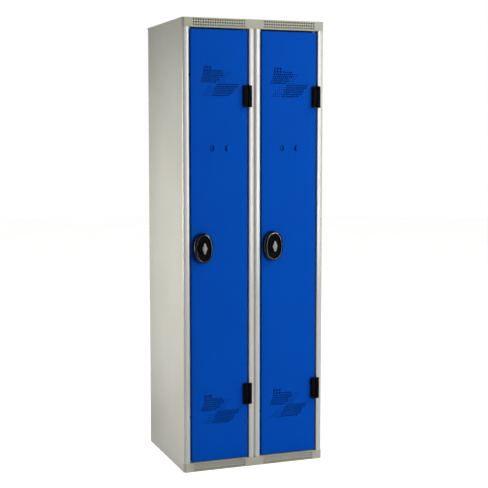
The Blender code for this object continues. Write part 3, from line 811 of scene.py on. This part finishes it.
            # The sill folds on into a closed channel, so that its holes look into the dark.
            closed_z = ledge_z - self.sill_lip
            path += [(None, rear, closed_z), (None, front + reach, closed_z)]
        else:
            path.append((None, rear, ledge_z + self.head_lip))
        return path

    def wrap_corners(self, form: bmesh.types.BMesh, ends: Point2, front: float, radius: float) -> None:
        """Carries the rail's face round both front corners of the carcass.

        Args:
            form: the rail's open surface.
            ends: where the flat face ends, left and right.
            front: the face's Y.
            radius: the corner's outer radius.
        """
        angles = [math.pi / 2 * step / self.arc_steps for step in range(1, self.arc_steps + 1)]
        for hand, end in ((-1, ends[0]), (1, ends[1])):
            line = [v for v in form.verts if abs(v.co.x - end) < NEAR and abs(v.co.y - front) < NEAR]
            reach = hand * radius
            path = [(end + reach * math.sin(a), front + radius * (1 - math.cos(a)), None) for a in angles]
            carry(form, sorted(line, key=lambda v: v.co.z), path, flip=hand > 0)

    def build(self) -> None:
        """Builds the folded pieces and dresses the plain sheets."""
        for side in Side:
            self.side_panel(side)
        self.centre_post()
        self.rail("punched_top_rail", "top_rail", ledge_below=True)
        self.rail("punched_bottom_rail", "bottom_rail", ledge_below=False)
        for node in ("centre_partition", "back_panel", "roof_panel", "floor_panel"):
            self.shop.dress_node(node, GREY_POWDER_COAT)
        for end in ("front", "rear"):
            for side in Side:
                self.shop.dress_node(f"glide_{end}_{side.value}", BLACK_RUBBER)


# ---------------------------------------------------------------- doors


@dataclass(frozen=True)
class HoleRow:
    """One row of vent holes, in mm: its drop below the first row, and its ends from the door's middle."""

    drop: float
    start: float
    end: float
    diameter: float
    pitch: float


@dataclass(frozen=True)
class SlantedField:
    """Rows of vent holes that drift sideways on the way down, in mm.

    Each edge is its place in the first row, from the door's middle, and how far it moves by the last
    row. faint is the outer edge of the smaller holes at the field's free corner.
    """

    rows: int
    left: Point2
    right: Point2
    faint: Point2

    def edges(self, row: int) -> list[float]:
        """The left, right and faint edge in a row."""
        share = row / (self.rows - 1)
        return [first + travel * share for first, travel in (self.left, self.right, self.faint)]


@dataclass(frozen=True)
class Vent:
    """A door's vent, in mm: a small block of large holes and a dash over two slanted fields."""

    large: float = 8.6
    medium: float = 6.4
    small: float = 3.8
    pitch: float = 8.65
    row_pitch: float = 8.7
    block: Point2 = (-62.0, -38.0)
    block_pitch: float = 12.0
    block_drop: float = 11.8
    dash: Point2 = (-27.0, 7.2)
    dash_pitch: float = 8.8
    dash_drop: float = 13.4
    field_drop: float = 10.6
    upper: SlantedField = SlantedField(5, left=(-64.5, -13.0), right=(15.0, -28.6), faint=(40.0, -22.0))
    lower: SlantedField = SlantedField(6, left=(-8.4, -22.0), right=(80.5, -41.0), faint=(-34.0, -43.0))

    def rows(self) -> list[HoleRow]:
        """The vent's rows, from the top down.

        Returns:
            The block's rows, then those of the upper and the lower slanted field.
        """
        rows = [HoleRow(drop, *self.block, self.large, self.block_pitch) for drop in (0.0, self.block_drop)]
        rows.append(HoleRow(self.dash_drop, *self.dash, self.medium, self.dash_pitch))
        top = self.block_drop + self.field_drop
        for slanted in (self.upper, self.lower):
            for row in range(slanted.rows):
                left, right, faint = slanted.edges(row)
                drop = top + row * self.row_pitch
                rows.append(HoleRow(drop, left, right, self.medium, self.pitch))
                if slanted is self.upper:
                    rows.append(HoleRow(drop, right + self.pitch, faint, self.small, self.pitch))
                elif row > 0:
                    rows.append(HoleRow(drop, faint, left - self.pitch, self.small, self.pitch))
            top += slanted.rows * self.row_pitch
        return rows


@dataclass(frozen=True)
class LabelEar:
    """A pressed ear of the label holder: a raised tongue whose free edge faces the door's middle.

    x and z are the free edge's middle; outward is 1 where the tongue runs to the right.
    """

    x: float
    z: float
    outward: int
    half_height: float = 9.5 * MM
    length: float = 13.0 * MM
    slot: float = 6.0 * MM
    curl: float = 5.0 * MM
    curl_width: float = 2.4 * MM
    rise: float = 4.4 * MM
    margin: float = 0.5 * MM
    flat_share: float = 0.55  # of the half height, before the tongue falls to its upper and lower ends
    fall_share: float = 0.65
    guides_along: int = 9
    guides_up: int = 13

    def loop(self) -> list[Point2]:
        """The C-shaped slot cut round the tongue's free edge.

        Returns:
            The slot's points, outwards and up from the free edge's middle.
        """
        h, w = self.half_height, self.curl_width
        shape = [
            (-self.slot, -h * 0.6),
            (-self.slot * 0.7, -h * 0.9),
            (-self.slot * 0.2, -h - w * 0.6),
            (self.curl * 0.4, -h - w),
            (self.curl, -h - w * 0.8),
            (self.curl, -h),
            (0.8 * MM, -h + 0.3 * MM),
            (0.0, -h + 1.2 * MM),
        ]
        whole = shape + [(u, -v) for u, v in reversed(shape)]
        points = [(self.x + self.outward * u, self.z + v) for u, v in whole]
        return points if self.outward > 0 else list(reversed(points))

    def guides(self) -> list[Point2]:
        """Points across the tongue, so that it can bulge smoothly.

        Returns:
            The points, clear of the slot.
        """
        found = []
        for i in range(1, self.guides_along + 1):
            for j in range(self.guides_up):
                u = self.length * 1.1 * i / self.guides_along
                v = -self.half_height * 1.25 + 2.5 * self.half_height * j / (self.guides_up - 1)
                if abs(v) < self.half_height - 2 * self.margin or u > self.curl + 0.8 * MM:
                    found.append((self.x + self.outward * u, self.z + v))
        return found

    def height(self, x: float, z: float) -> float:
        """How far the tongue stands proud at a point of the face.

        Args:
            x: the point's X.
            z: its height.

        Returns:
            The rise, which is zero off the tongue.
        """
        u = (x - self.x) * self.outward
        v = abs(z - self.z)
        if u < -self.margin or u > self.length or v > self.half_height * 1.2:
            return 0.0
        if v > self.half_height - self.margin and u < self.curl + 0.1 * MM:
            return 0.0
        side = (v / self.half_height - self.flat_share) / self.fall_share
        return self.rise * (1 - eased(u / self.length)) * (1 - eased(side))


@dataclass
class Door:
    """A blue door pan with two vents, a pressed label holder and a stiffener behind it."""

    side: Side
    shop: Paintshop
    sheet: float = 1.0 * MM
    bend_radius: float = 2.0 * MM
    corner_radius: float = 3.0 * MM
    hem: float = 12.0 * MM
    lock_hole: float = 10.8 * MM
    vent_from_top: float = 191.0 * MM
    vent_from_floor: float = 303.0 * MM
    label_from_top: float = 508.0 * MM
    label_half: float = 29.0 * MM
    arc_steps: int = 5
    corner_steps: int = 3
    vent: Vent = Vent()
    vent_hole_steps: int = 10
    lock_hole_steps: int = 32

    def vent_holes(self, middle: float, top: float) -> list[list[Point2]]:
        """The hole loops of one vent.

        Args:
            middle: the door's middle X.
            top: the height of the first row.

        Returns:
            A loop for each hole.
        """
        loops = []
        for row in self.vent.rows():
            count = max(1, round((row.end - row.start) / row.pitch) + 1)
            for index in range(count):
                x = middle + (row.start + index * row.pitch) * MM
                z = top - row.drop * MM
                loops.append(disc_loop(x, z, row.diameter / 2 * MM, self.vent_hole_steps))
        return loops

    def ring(self, low: Vector, high: Vector, inset: float) -> list[Point2]:
        """A rounded rectangle inside the door's outline, from its lower right corner round.

        Args:
            low: the door's lowest corner.
            high: the door's highest corner.
            inset: how far inside the outline the ring lies.

        Returns:
            The ring's points.
        """
        radius = max(self.corner_radius - inset, 0.2 * MM)
        loop: list[Point2] = []
        corners = ((high.x, low.z, -90), (high.x, high.z, 0), (low.x, high.z, 90), (low.x, low.z, 180))
        for x, z, start in corners:
            centre_x = x - math.copysign(inset + radius, x - (low.x + high.x) / 2)
            centre_z = z - math.copysign(inset + radius, z - (low.z + high.z) / 2)
            corner = arc((centre_x, centre_z), radius, start, start + 90, self.corner_steps)
            loop.extend((p.x, p.y) for p in corner)
        return loop

    def build(self) -> None:
        """Builds the pan and dresses the stiffener."""
        name = self.side.value
        low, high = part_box(f"door_{name}")
        middle = (low.x + high.x) / 2
        lock_low, lock_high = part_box(f"lock_nut_{name}")
        lock_x, lock_z = (lock_low.x + lock_high.x) / 2, (lock_low.z + lock_high.z) / 2
        top, floor = CAD_BOX[1].z, CAD_BOX[0].z
        label_z = top - self.label_from_top
        ears = [
            LabelEar(middle - self.label_half, label_z, -1),
            LabelEar(middle + self.label_half, label_z, 1),
        ]
        holes = [disc_loop(lock_x, lock_z, self.lock_hole, self.lock_hole_steps)]
        for first_row in (top - self.vent_from_top, floor + self.vent_from_floor):
            holes += self.vent_holes(middle, first_row)
        holes += [ear.loop() for ear in ears]
        guides = [point for ear in ears for point in ear.guides()]

        def relief(x: float, z: float) -> float:
            """How far the label ears stand proud at a point of the face."""
            return max(ear.height(x, z) for ear in ears)

        form = bmesh.new()
        face = PunchedPlate(self.ring(low, high, self.bend_radius), low.y, holes, guides, relief)
        rings = [face.add_to(form)]
        for step in range(1, self.arc_steps + 1):
            angle = math.pi / 2 * step / self.arc_steps
            inset = self.bend_radius * (1 - math.sin(angle))
            depth = self.bend_radius * (1 - math.cos(angle))
            rings.append([form.verts.new((x, low.y + depth, z)) for x, z in self.ring(low, high, inset)])
        for inset in (0.0, self.hem):
            rings.append([form.verts.new((x, high.y, z)) for x, z in self.ring(low, high, inset)])
        for ring, beyond in zip(rings, rings[1:]):
            loft(form, [beyond, ring])
        bmesh.ops.recalc_face_normals(form, faces=form.faces)
        pan = new_piece(f"punched_door_{name}", form)
        to_rear = sum(face.area for face in pan.data.polygons if face.normal.y > FACING)
        to_front = sum(face.area for face in pan.data.polygons if face.normal.y < -FACING)
        if to_rear > to_front:
            pan.data.flip_normals()
        thicken(pan, self.sheet)
        smooth(pan)
        self.shop.stand_in(pan, BLUE_POWDER_COAT, f"door_{name}", f"{name}_door")
        self.shop.dress_node(f"door_stiffener_{name}", BLUE_POWDER_COAT)


@dataclass
class Hinge:
    """A black two-leaf hinge block on its plated pin."""

    side: Side
    end: str
    shop: Paintshop
    edge_radius: float = 1.8 * MM
    barrel_radius: float = 4.5 * MM
    knuckle: float = 30.0 * MM
    joint_groove: float = 0.9 * MM
    barrel_clear: float = 0.7 * MM
    frame_plate: float = 4.2 * MM
    door_plate_front: float = 2.5 * MM  # before the pin's axis
    web_front: float = 2.2 * MM
    web_rear: float = 3.5 * MM
    crease: float = 38.0  # degrees: sharper folds stay crisp
    edge_steps: int = 4
    barrel_steps: int = 28

    @property
    def tag(self) -> str:
        """The hinge's column and end, as its nodes name them."""
        return f"{self.side.value}_{self.end}"

    def plate(self, low: Vector, high: Vector) -> bmesh.types.BMesh:
        """The leaf's plate, with rounded corners and edges.

        Args:
            low: the plate's lowest corner.
            high: its highest corner.

        Returns:
            The plate.
        """
        form = box_form(low, high)
        front = [e for e in form.edges if not all(abs(v.co.y - high.y) < NEAR for v in e.verts)]
        bmesh.ops.bevel(
            form, geom=front, offset=self.edge_radius, segments=self.edge_steps, affect="EDGES", profile=0.5
        )
        return form

    def barrel(self, axis: Vector, low: float, high: float) -> bmesh.types.BMesh:
        """A length of barrel with its two rims eased.

        Args:
            axis: a point on the pin's axis.
            low: the barrel's lower end.
            high: its upper end.

        Returns:
            The barrel.
        """
        ease = self.joint_groove
        profile = [
            (self.barrel_radius - ease, low),
            (self.barrel_radius - ease * 0.3, low + ease * 0.3),
            (self.barrel_radius, low + ease),
            (self.barrel_radius, high - ease),
            (self.barrel_radius - ease * 0.3, high - ease * 0.3),
            (self.barrel_radius - ease, high),
        ]
        return lathe(profile, Vector((axis.x, axis.y, 0)), self.barrel_steps)

    def build(self) -> None:
        """Builds both leaves and dresses the pin."""
        pin_low, pin_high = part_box(f"hinge_pin_{self.tag}")
        axis = (pin_low + pin_high) / 2
        frame_low, frame_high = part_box(f"hinge_frame_leaf_{self.tag}")
        door_low, door_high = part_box(f"hinge_door_leaf_{self.tag}")
        half = self.knuckle / 2
        clear = self.barrel_radius + self.barrel_clear
        reach = clear + self.edge_radius * 2
        plate = self.plate(Vector((axis.x + clear, frame_high.y - self.frame_plate, frame_low.z)), frame_high)
        spans = ((frame_low.z, axis.z - half - CLEARANCE), (axis.z + half + CLEARANCE, frame_high.z))
        webs = [self.web(axis, axis.x, axis.x + reach, frame_high.y, span) for span in spans]
        barrels = [self.barrel(axis, *span) for span in spans]
        self.leaf("frame", "carcass", [plate, *webs, *barrels])
        plate = self.plate(
            Vector((door_low.x, axis.y - self.door_plate_front, door_low.z)),
            Vector((axis.x - clear, door_high.y, door_high.z)),
        )
        middle = (axis.z - half, axis.z + half)
        web = self.web(axis, axis.x - reach, axis.x, axis.y + self.web_rear, middle)
        self.leaf("door", f"{self.side.value}_door", [plate, web, self.barrel(axis, *middle)])
        self.shop.dress_node(f"hinge_pin_{self.tag}", PLATED_STEEL)

    def web(self, axis: Vector, left: float, right: float, rear: float, span: Point2) -> bmesh.types.BMesh:
        """The web that joins a barrel to its plate.

        Args:
            axis: a point on the pin's axis.
            left: the web's left side.
            right: its right side.
            rear: its rear face.
            span: its lower and upper end.

        Returns:
            The web.
        """
        ease = self.joint_groove
        low = Vector((left, axis.y - self.web_front, span[0] + ease))
        return box_form(low, Vector((right, min(rear, axis.y + self.web_rear), span[1] - ease)))

    def leaf(self, kind: str, body: str, forms: list[bmesh.types.BMesh]) -> None:
        """Unites a leaf's forms and puts it in place of its CAD node.

        Args:
            kind: frame or door, for the leaf's names.
            body: the body that it rides on.
            forms: the plate, its webs and its barrels.
        """
        piece = joined(f"moulded_{kind}_leaf_{self.tag}", forms)
        smooth(piece, self.crease)
        self.shop.stand_in(piece, SATIN_ABS, f"hinge_{kind}_leaf_{self.tag}", body)


@dataclass
class Lock:
    """A quarter-turn lock: oval housing, rotor, cast grip, and the cam, nut and screw behind."""

    side: Side
    shop: Paintshop
    proud: float = 26.0 * MM
    shoulder: float = 8.5 * MM
    dish: float = 3.4 * MM
    well_radius: float = 22.5 * MM
    well_depth: float = 6.0 * MM
    fullness: float = 0.24
    boss_radius: float = 10.5 * MM
    boss_reach: float = 12.0 * MM
    spindle_radius: float = 6.0 * MM
    foot_ease: float = 0.4 * MM
    draft: float = 0.6 * MM
    crown: float = 2.5 * MM
    crown_share: float = 0.35  # of the dish's depth, reached at the crown's inner edge
    well_lip: float = 1.0 * MM
    shoulder_steps: int = 8
    rotor_clear: float = 0.6 * MM
    rotor_ease: float = 0.8 * MM
    rotor_dish: float = 0.5 * MM
    tip_radius: float = 0.2 * MM
    lobe: float = 5.4 * MM
    waist: float = 12.0 * MM
    flank_share: float = 0.82
    flank: float = 3.4 * MM
    grip_edge: float = 1.6 * MM
    lobe_overlap: float = 20.0  # degrees past the half circle at each end
    steps: int = 72

    def ring(
        self, form: bmesh.types.BMesh, centre: Vector, across: float, up: float, front: float
    ) -> list[bmesh.types.BMVert]:
        """A ring of vertices round the lock's axis, an oval a little full at its quarters, or a circle.

        Args:
            form: the mesh to add to.
            centre: the lock's place on the door face.
            across: half the ring's width.
            up: half its height.
            front: how far it stands in front of the door.

        Returns:
            The ring.
        """
        ring = []
        for step in range(self.steps):
            angle = math.tau * step / self.steps
            fuller = 1 + self.fullness * (up - across) / (up + across) * math.sin(2 * angle) ** 2
            x, z = across * fuller * math.cos(angle), up * fuller * math.sin(angle)
            ring.append(form.verts.new((centre.x + x, centre.y - front, centre.z + z)))
        return ring

    def housing(self, centre: Vector, half_width: float, half_height: float) -> None:
        """Builds the housing: a domed oval rim round a shallow dish with the rotor's well in it.

        Args:
            centre: the lock's place on the door face.
            half_width: half the housing's width.
            half_height: half its height.
        """
        bore, boss = self.spindle_radius + CLEARANCE, self.boss_radius
        foot, lip = self.foot_ease, self.well_lip
        well_floor = self.proud - self.well_depth
        stations = [
            (bore, bore, well_floor),
            (bore, bore, -self.boss_reach),
            (boss, boss, -self.boss_reach),
            (boss, boss, CLEARANCE),
            (half_width - foot, half_height - foot, CLEARANCE),
            (half_width, half_height, CLEARANCE + foot),
        ]
        for step in range(self.shoulder_steps + 1):
            angle = math.pi / 2 * step / self.shoulder_steps
            inset = self.draft + self.shoulder * (1 - math.cos(angle))
            front = self.proud - self.shoulder * (1 - math.sin(angle))
            stations.append((half_width - inset, half_height - inset, front))
        rim = self.draft + self.shoulder
        for share in (0.25, 0.5, 0.75, 1.0):
            inset = rim + self.crown * share
            front = self.proud - self.dish * share * share * self.crown_share
            stations.append((half_width - inset, half_height - inset, front))
        outer_x, outer_z = half_width - rim - self.crown, half_height - rim - self.crown
        lip_radius = self.well_radius + lip
        dish_floor = self.proud - self.dish
        for share in (0.35, 0.7, 1.0):
            across = outer_x + (lip_radius - outer_x) * share
            up = outer_z + (lip_radius - outer_z) * share
            fall = self.dish * (1 - self.crown_share) * eased(share)
            stations.append((across, up, self.proud - self.dish * self.crown_share - fall))
        for radius, front in (
            (self.well_radius + 0.3 * lip, dish_floor - 0.1 * lip),
            (self.well_radius, dish_floor - 0.6 * lip),
            (self.well_radius, well_floor),
        ):
            stations.append((radius, radius, front))
        form = bmesh.new()
        rings = [self.ring(form, centre, *station) for station in stations]
        loft(form, [*rings, rings[0]])
        bmesh.ops.recalc_face_normals(form, faces=form.faces)
        name = self.side.value
        piece = new_piece(f"moulded_lock_housing_{name}", form)
        smooth(piece, 40)
        self.shop.stand_in(piece, BLACK_ABS, f"lock_housing_{name}", f"{name}_door")
        piece.data.materials.append(self.shop.material(SATIN_ABS))
        dish_x, dish_z = outer_x + self.crown, outer_z + self.crown
        for face in piece.data.polygons:
            off = face.center - centre
            if math.hypot(off.x / dish_x, off.z / dish_z) < 1.0 and off.y < 0:
                face.material_index = 1

    def rotor(self, centre: Vector, front: float, back: float) -> None:
        """Builds the rotor: a dished disc with an eased rim, and its spindle.

        Args:
            centre: the lock's place on the door face.
            front: how far the disc's face stands in front of the door.
            back: how far the spindle's end is from the door face, behind it.
        """
        disc = self.well_radius - self.rotor_clear
        disc_back = self.proud - self.well_depth + CLEARANCE
        ease = self.rotor_ease
        profile = [
            (self.tip_radius, front - self.rotor_dish),
            (disc - 5.0 * MM, front - self.rotor_dish),
            (disc - 3.6 * MM, front - 0.1 * MM),
            (disc - 2.0 * MM, front),
            (disc - ease, front),
            (disc - 0.25 * ease, front - 0.25 * ease),
            (disc, front - ease),
            (disc, disc_back),
            (self.spindle_radius, disc_back),
            (self.spindle_radius, -back),
            (self.tip_radius, -back),
        ]
        form = bmesh.new()
        rings = [self.ring(form, centre, radius, radius, height) for radius, height in profile]
        loft(form, rings)
        form.faces.new(rings[0])
        form.faces.new(rings[-1])
        bmesh.ops.recalc_face_normals(form, faces=form.faces)
        name = self.side.value
        piece = new_piece(f"moulded_lock_rotor_{name}", form)
        smooth(piece, 30)
        self.shop.stand_in(piece, SATIN_ABS, f"lock_rotor_{name}", f"{name}_lock_turn")

    def grip(self, low: Vector, high: Vector) -> None:
        """Builds the cast turn-grip: an upright diamond with a round lobe at each end.

        Args:
            low: the CAD grip's lowest corner.
            high: its highest corner.
        """
        centre = (low + high) / 2
        reach = (high.z - low.z) / 2 - self.lobe
        past = self.lobe_overlap
        outline: list[Point2] = []
        for start, sign in ((0, 1), (180, -1)):
            end = arc((0, sign * reach), self.lobe, start - past, start + 180 + past, 14)
            outline += [(p.x, p.y) for p in end]
            corner = -sign * self.waist
            flank_x = corner * self.flank_share
            outline += [(flank_x, sign * self.flank), (corner, 0.0), (flank_x, -sign * self.flank)]
        form = bmesh.new()
        verts = [form.verts.new((centre.x + x, high.y, centre.z + z)) for x, z in outline]
        face = form.faces.new(verts)
        pulled = bmesh.ops.extrude_face_region(form, geom=[face])["geom"]
        front = [v for v in pulled if isinstance(v, bmesh.types.BMVert)]
        bmesh.ops.translate(form, verts=front, vec=(0, low.y - high.y, 0))
        bmesh.ops.recalc_face_normals(form, faces=form.faces)
        name = self.side.value
        piece = new_piece(f"cast_lock_grip_{name}", form)
        round_edges(piece, self.grip_edge, 4)
        apply_modifiers(piece)
        smooth(piece, 35)
        self.shop.stand_in(piece, CAST_ZINC, f"lock_grip_{name}", f"{name}_lock_turn")

    def build(self) -> None:
        """Builds the lock's pieces and dresses those behind the door."""
        name = self.side.value
        low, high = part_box(f"lock_housing_{name}")
        door_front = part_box(f"door_{name}")[0].y
        centre = Vector(((low.x + high.x) / 2, door_front, (low.z + high.z) / 2))
        self.housing(centre, (high.x - low.x) / 2, (high.z - low.z) / 2)
        rotor_low, rotor_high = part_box(f"lock_rotor_{name}")
        self.rotor(centre, door_front - rotor_low.y, rotor_high.y - door_front)
        self.grip(*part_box(f"lock_grip_{name}"))
        self.shop.dress_node(f"lock_nut_{name}", CAST_ZINC)
        self.shop.dress_node(f"lock_cam_{name}", CAST_ZINC)
        self.shop.dress_node(f"cam_screw_{name}", PLATED_STEEL)


@dataclass
class Interior:
    """What a column holds: hat shelf, hanging tube with its sockets, sliding hooks and door buffers."""

    side: Side
    shop: Paintshop

    def build(self) -> None:
        """Dresses the column's fittings."""
        name = self.side.value
        self.shop.dress_node(f"hat_shelf_{name}", GREY_POWDER_COAT)
        self.shop.dress_node(f"hanging_rail_{name}", PLATED_STEEL)
        for node, ends, finish in (
            ("rail_socket", ("left", "right"), BLACK_NYLON),
            ("coat_hook", (1, 2), BLACK_NYLON),
            ("door_bumper", ("upper", "lower"), BLACK_RUBBER),
        ):
            for end in ends:
                self.shop.dress_node(f"{node}_{name}_{end}", finish)


# ---------------------------------------------------------------- studio


@dataclass(frozen=True)
class Softbox:
    """A rectangular studio light, aimed at a point on the object."""

    name: str
    place: Point3
    target: Point3
    width: float
    height: float
    power: float
    colour: str = "#FFFFFF"
    spread_deg: float = 180.0

    def hang(self) -> None:
        """Makes the light and points it."""
        light = bpy.data.lights.new(self.name, "AREA")
        light.shape = "RECTANGLE"
        light.size, light.size_y = self.width, self.height
        light.energy = self.power
        light.color = linear(self.colour)[:3]
        light.spread = math.radians(self.spread_deg)
        lamp = bpy.data.objects.new(self.name, light)
        lamp.location = self.place
        lamp.rotation_euler = (Vector(self.target) - Vector(self.place)).to_track_quat("-Z", "Y").to_euler()
        bpy.context.scene.collection.objects.link(lamp)


# The key lights the front from the right; the two strips stand where the posts mirror them; the side
# light rakes the left panel, brightest at its middle; the rear light is for views from behind.
LIGHTS = (
    Softbox("key_softbox", (3.0, -2.3, 3.7), (0.1, -0.25, 1.5), width=1.2, height=2.0, power=80.0),
    Softbox("centre_strip_softbox", (1.44, -4.0, 1.4), (0.0, -0.25, 1.3), width=0.16, height=2.1, power=50.0),
    Softbox("right_strip_softbox", (2.0, -4.0, 1.4), (0.28, -0.25, 1.3), width=0.16, height=2.1, power=30.0),
    Softbox(
        "side_softbox", (-2.6, 0.9, 1.0), (-0.3, -0.22, 0.9), width=0.5, height=1.4, power=10.0,
        colour="#FFFDF8", spread_deg=60.0,
    ),
    Softbox("rear_softbox", (0.9, 3.4, 2.4), (0.0, 0.25, 0.9), width=1.2, height=1.8, power=26.0),
)


@dataclass
class Studio:
    """A plain pale floor, a white surround, soft lights and the camera."""

    floor_radius: float = 14.0
    floor_lift: float = 1.08
    floor_tones: tuple[str, str] = ("#EDEDEC", "#F2F2F1")
    floor_mottle_mm: float = 900.0
    backdrop: str = "#FFFFFF"
    fill: str = "#F4F6FF"
    fill_strength: float = 0.06
    lens: float = 81.411
    shift_y: float = -0.04
    eye: Point3 = (-1.575, -4.3544, 1.3392)
    yaw_deg: float = 20.3772
    pitch_deg: float = 4.5634
    clip_end: float = 60.0

    def surround(self) -> None:
        """White behind everything, and a softer fill on the object itself."""
        world = bpy.data.worlds.new("surround")
        bpy.context.scene.world = world
        world.use_nodes = True
        tree = world.node_tree
        tree.nodes.clear()
        seen = add_node(tree, "ShaderNodeBackground", {"Color": linear(self.backdrop), "Strength": 1.0})
        settings = {"Color": linear(self.fill), "Strength": self.fill_strength}
        fill = add_node(tree, "ShaderNodeBackground", settings)
        path = add_node(tree, "ShaderNodeLightPath")
        mix = add_node(tree, "ShaderNodeMixShader", links={"Fac": path.outputs["Is Camera Ray"]})
        tree.links.new(fill.outputs["Background"], mix.inputs[1])
        tree.links.new(seen.outputs["Background"], mix.inputs[2])
        add_node(tree, "ShaderNodeOutputWorld", links={"Surface": mix.outputs["Shader"]})

    def floor(self) -> None:
        """A wide pale floor under the glides.

        It is matt white vinyl, and evens out to the backdrop's white where the camera sees it.
        """
        form = bmesh.new()
        bmesh.ops.create_circle(form, cap_ends=True, segments=96, radius=self.floor_radius)
        plane = new_piece("studio_floor", form)
        material = bpy.data.materials.new("matt_white_vinyl_floor")
        material.use_nodes = True
        tree = material.node_tree
        shader = tree.nodes["Principled BSDF"]
        shader.inputs["Roughness"].default_value = 0.9
        shader.inputs["Specular IOR Level"].default_value = 0.1
        where = add_node(tree, "ShaderNodeTexCoord")
        settings = {"Scale": per_metre(self.floor_mottle_mm)}
        cloud = add_node(tree, "ShaderNodeTexNoise", settings, {"Vector": where.outputs["Object"]})
        colour = add_node(tree, "ShaderNodeValToRGB", links={"Fac": cloud.outputs["Fac"]})
        for stop, tone in zip(colour.color_ramp.elements, self.floor_tones):
            stop.color = linear(tone)
        tree.links.new(colour.outputs["Color"], shader.inputs["Base Color"])
        path = add_node(tree, "ShaderNodeLightPath")
        lift = add_node(
            tree,
            "ShaderNodeMath",
            {"operation": "MULTIPLY", 1: self.floor_lift},
            {0: path.outputs["Is Camera Ray"]},
        )
        tree.links.new(colour.outputs["Color"], shader.inputs["Emission Color"])
        tree.links.new(lift.outputs["Value"], shader.inputs["Emission Strength"])
        plane.data.materials.append(material)

    def camera(self) -> None:
        """The camera, at standing eye height to the left of the front."""
        data = bpy.data.cameras.new("camera")
        data.lens = self.lens
        data.shift_y = self.shift_y
        data.clip_end = self.clip_end
        camera = bpy.data.objects.new("camera", data)
        yaw, pitch = math.radians(self.yaw_deg), math.radians(self.pitch_deg)
        camera.location = self.eye
        camera.rotation_euler = (math.pi / 2 - pitch, 0.0, -yaw)
        bpy.context.scene.collection.objects.link(camera)
        bpy.context.scene.camera = camera

    def build(self) -> None:
        """Sets the studio up."""
        bpy.context.scene.view_settings.view_transform = "Standard"
        self.surround()
        self.floor()
        self.camera()
        for light in LIGHTS:
            light.hang()


def main() -> None:
    """Builds the locker's looks and the studio."""
    logging.basicConfig(level=logging.INFO, format="%(name)s: %(message)s")
    shop = Paintshop()
    Studio().build()
    Carcass(shop).build()
    for side in Side:
        Door(side, shop).build()
        for end in ("upper", "lower"):
            Hinge(side, end, shop).build()
        Lock(side, shop).build()
        Interior(side, shop).build()


if __name__ == "__main__":
    main()
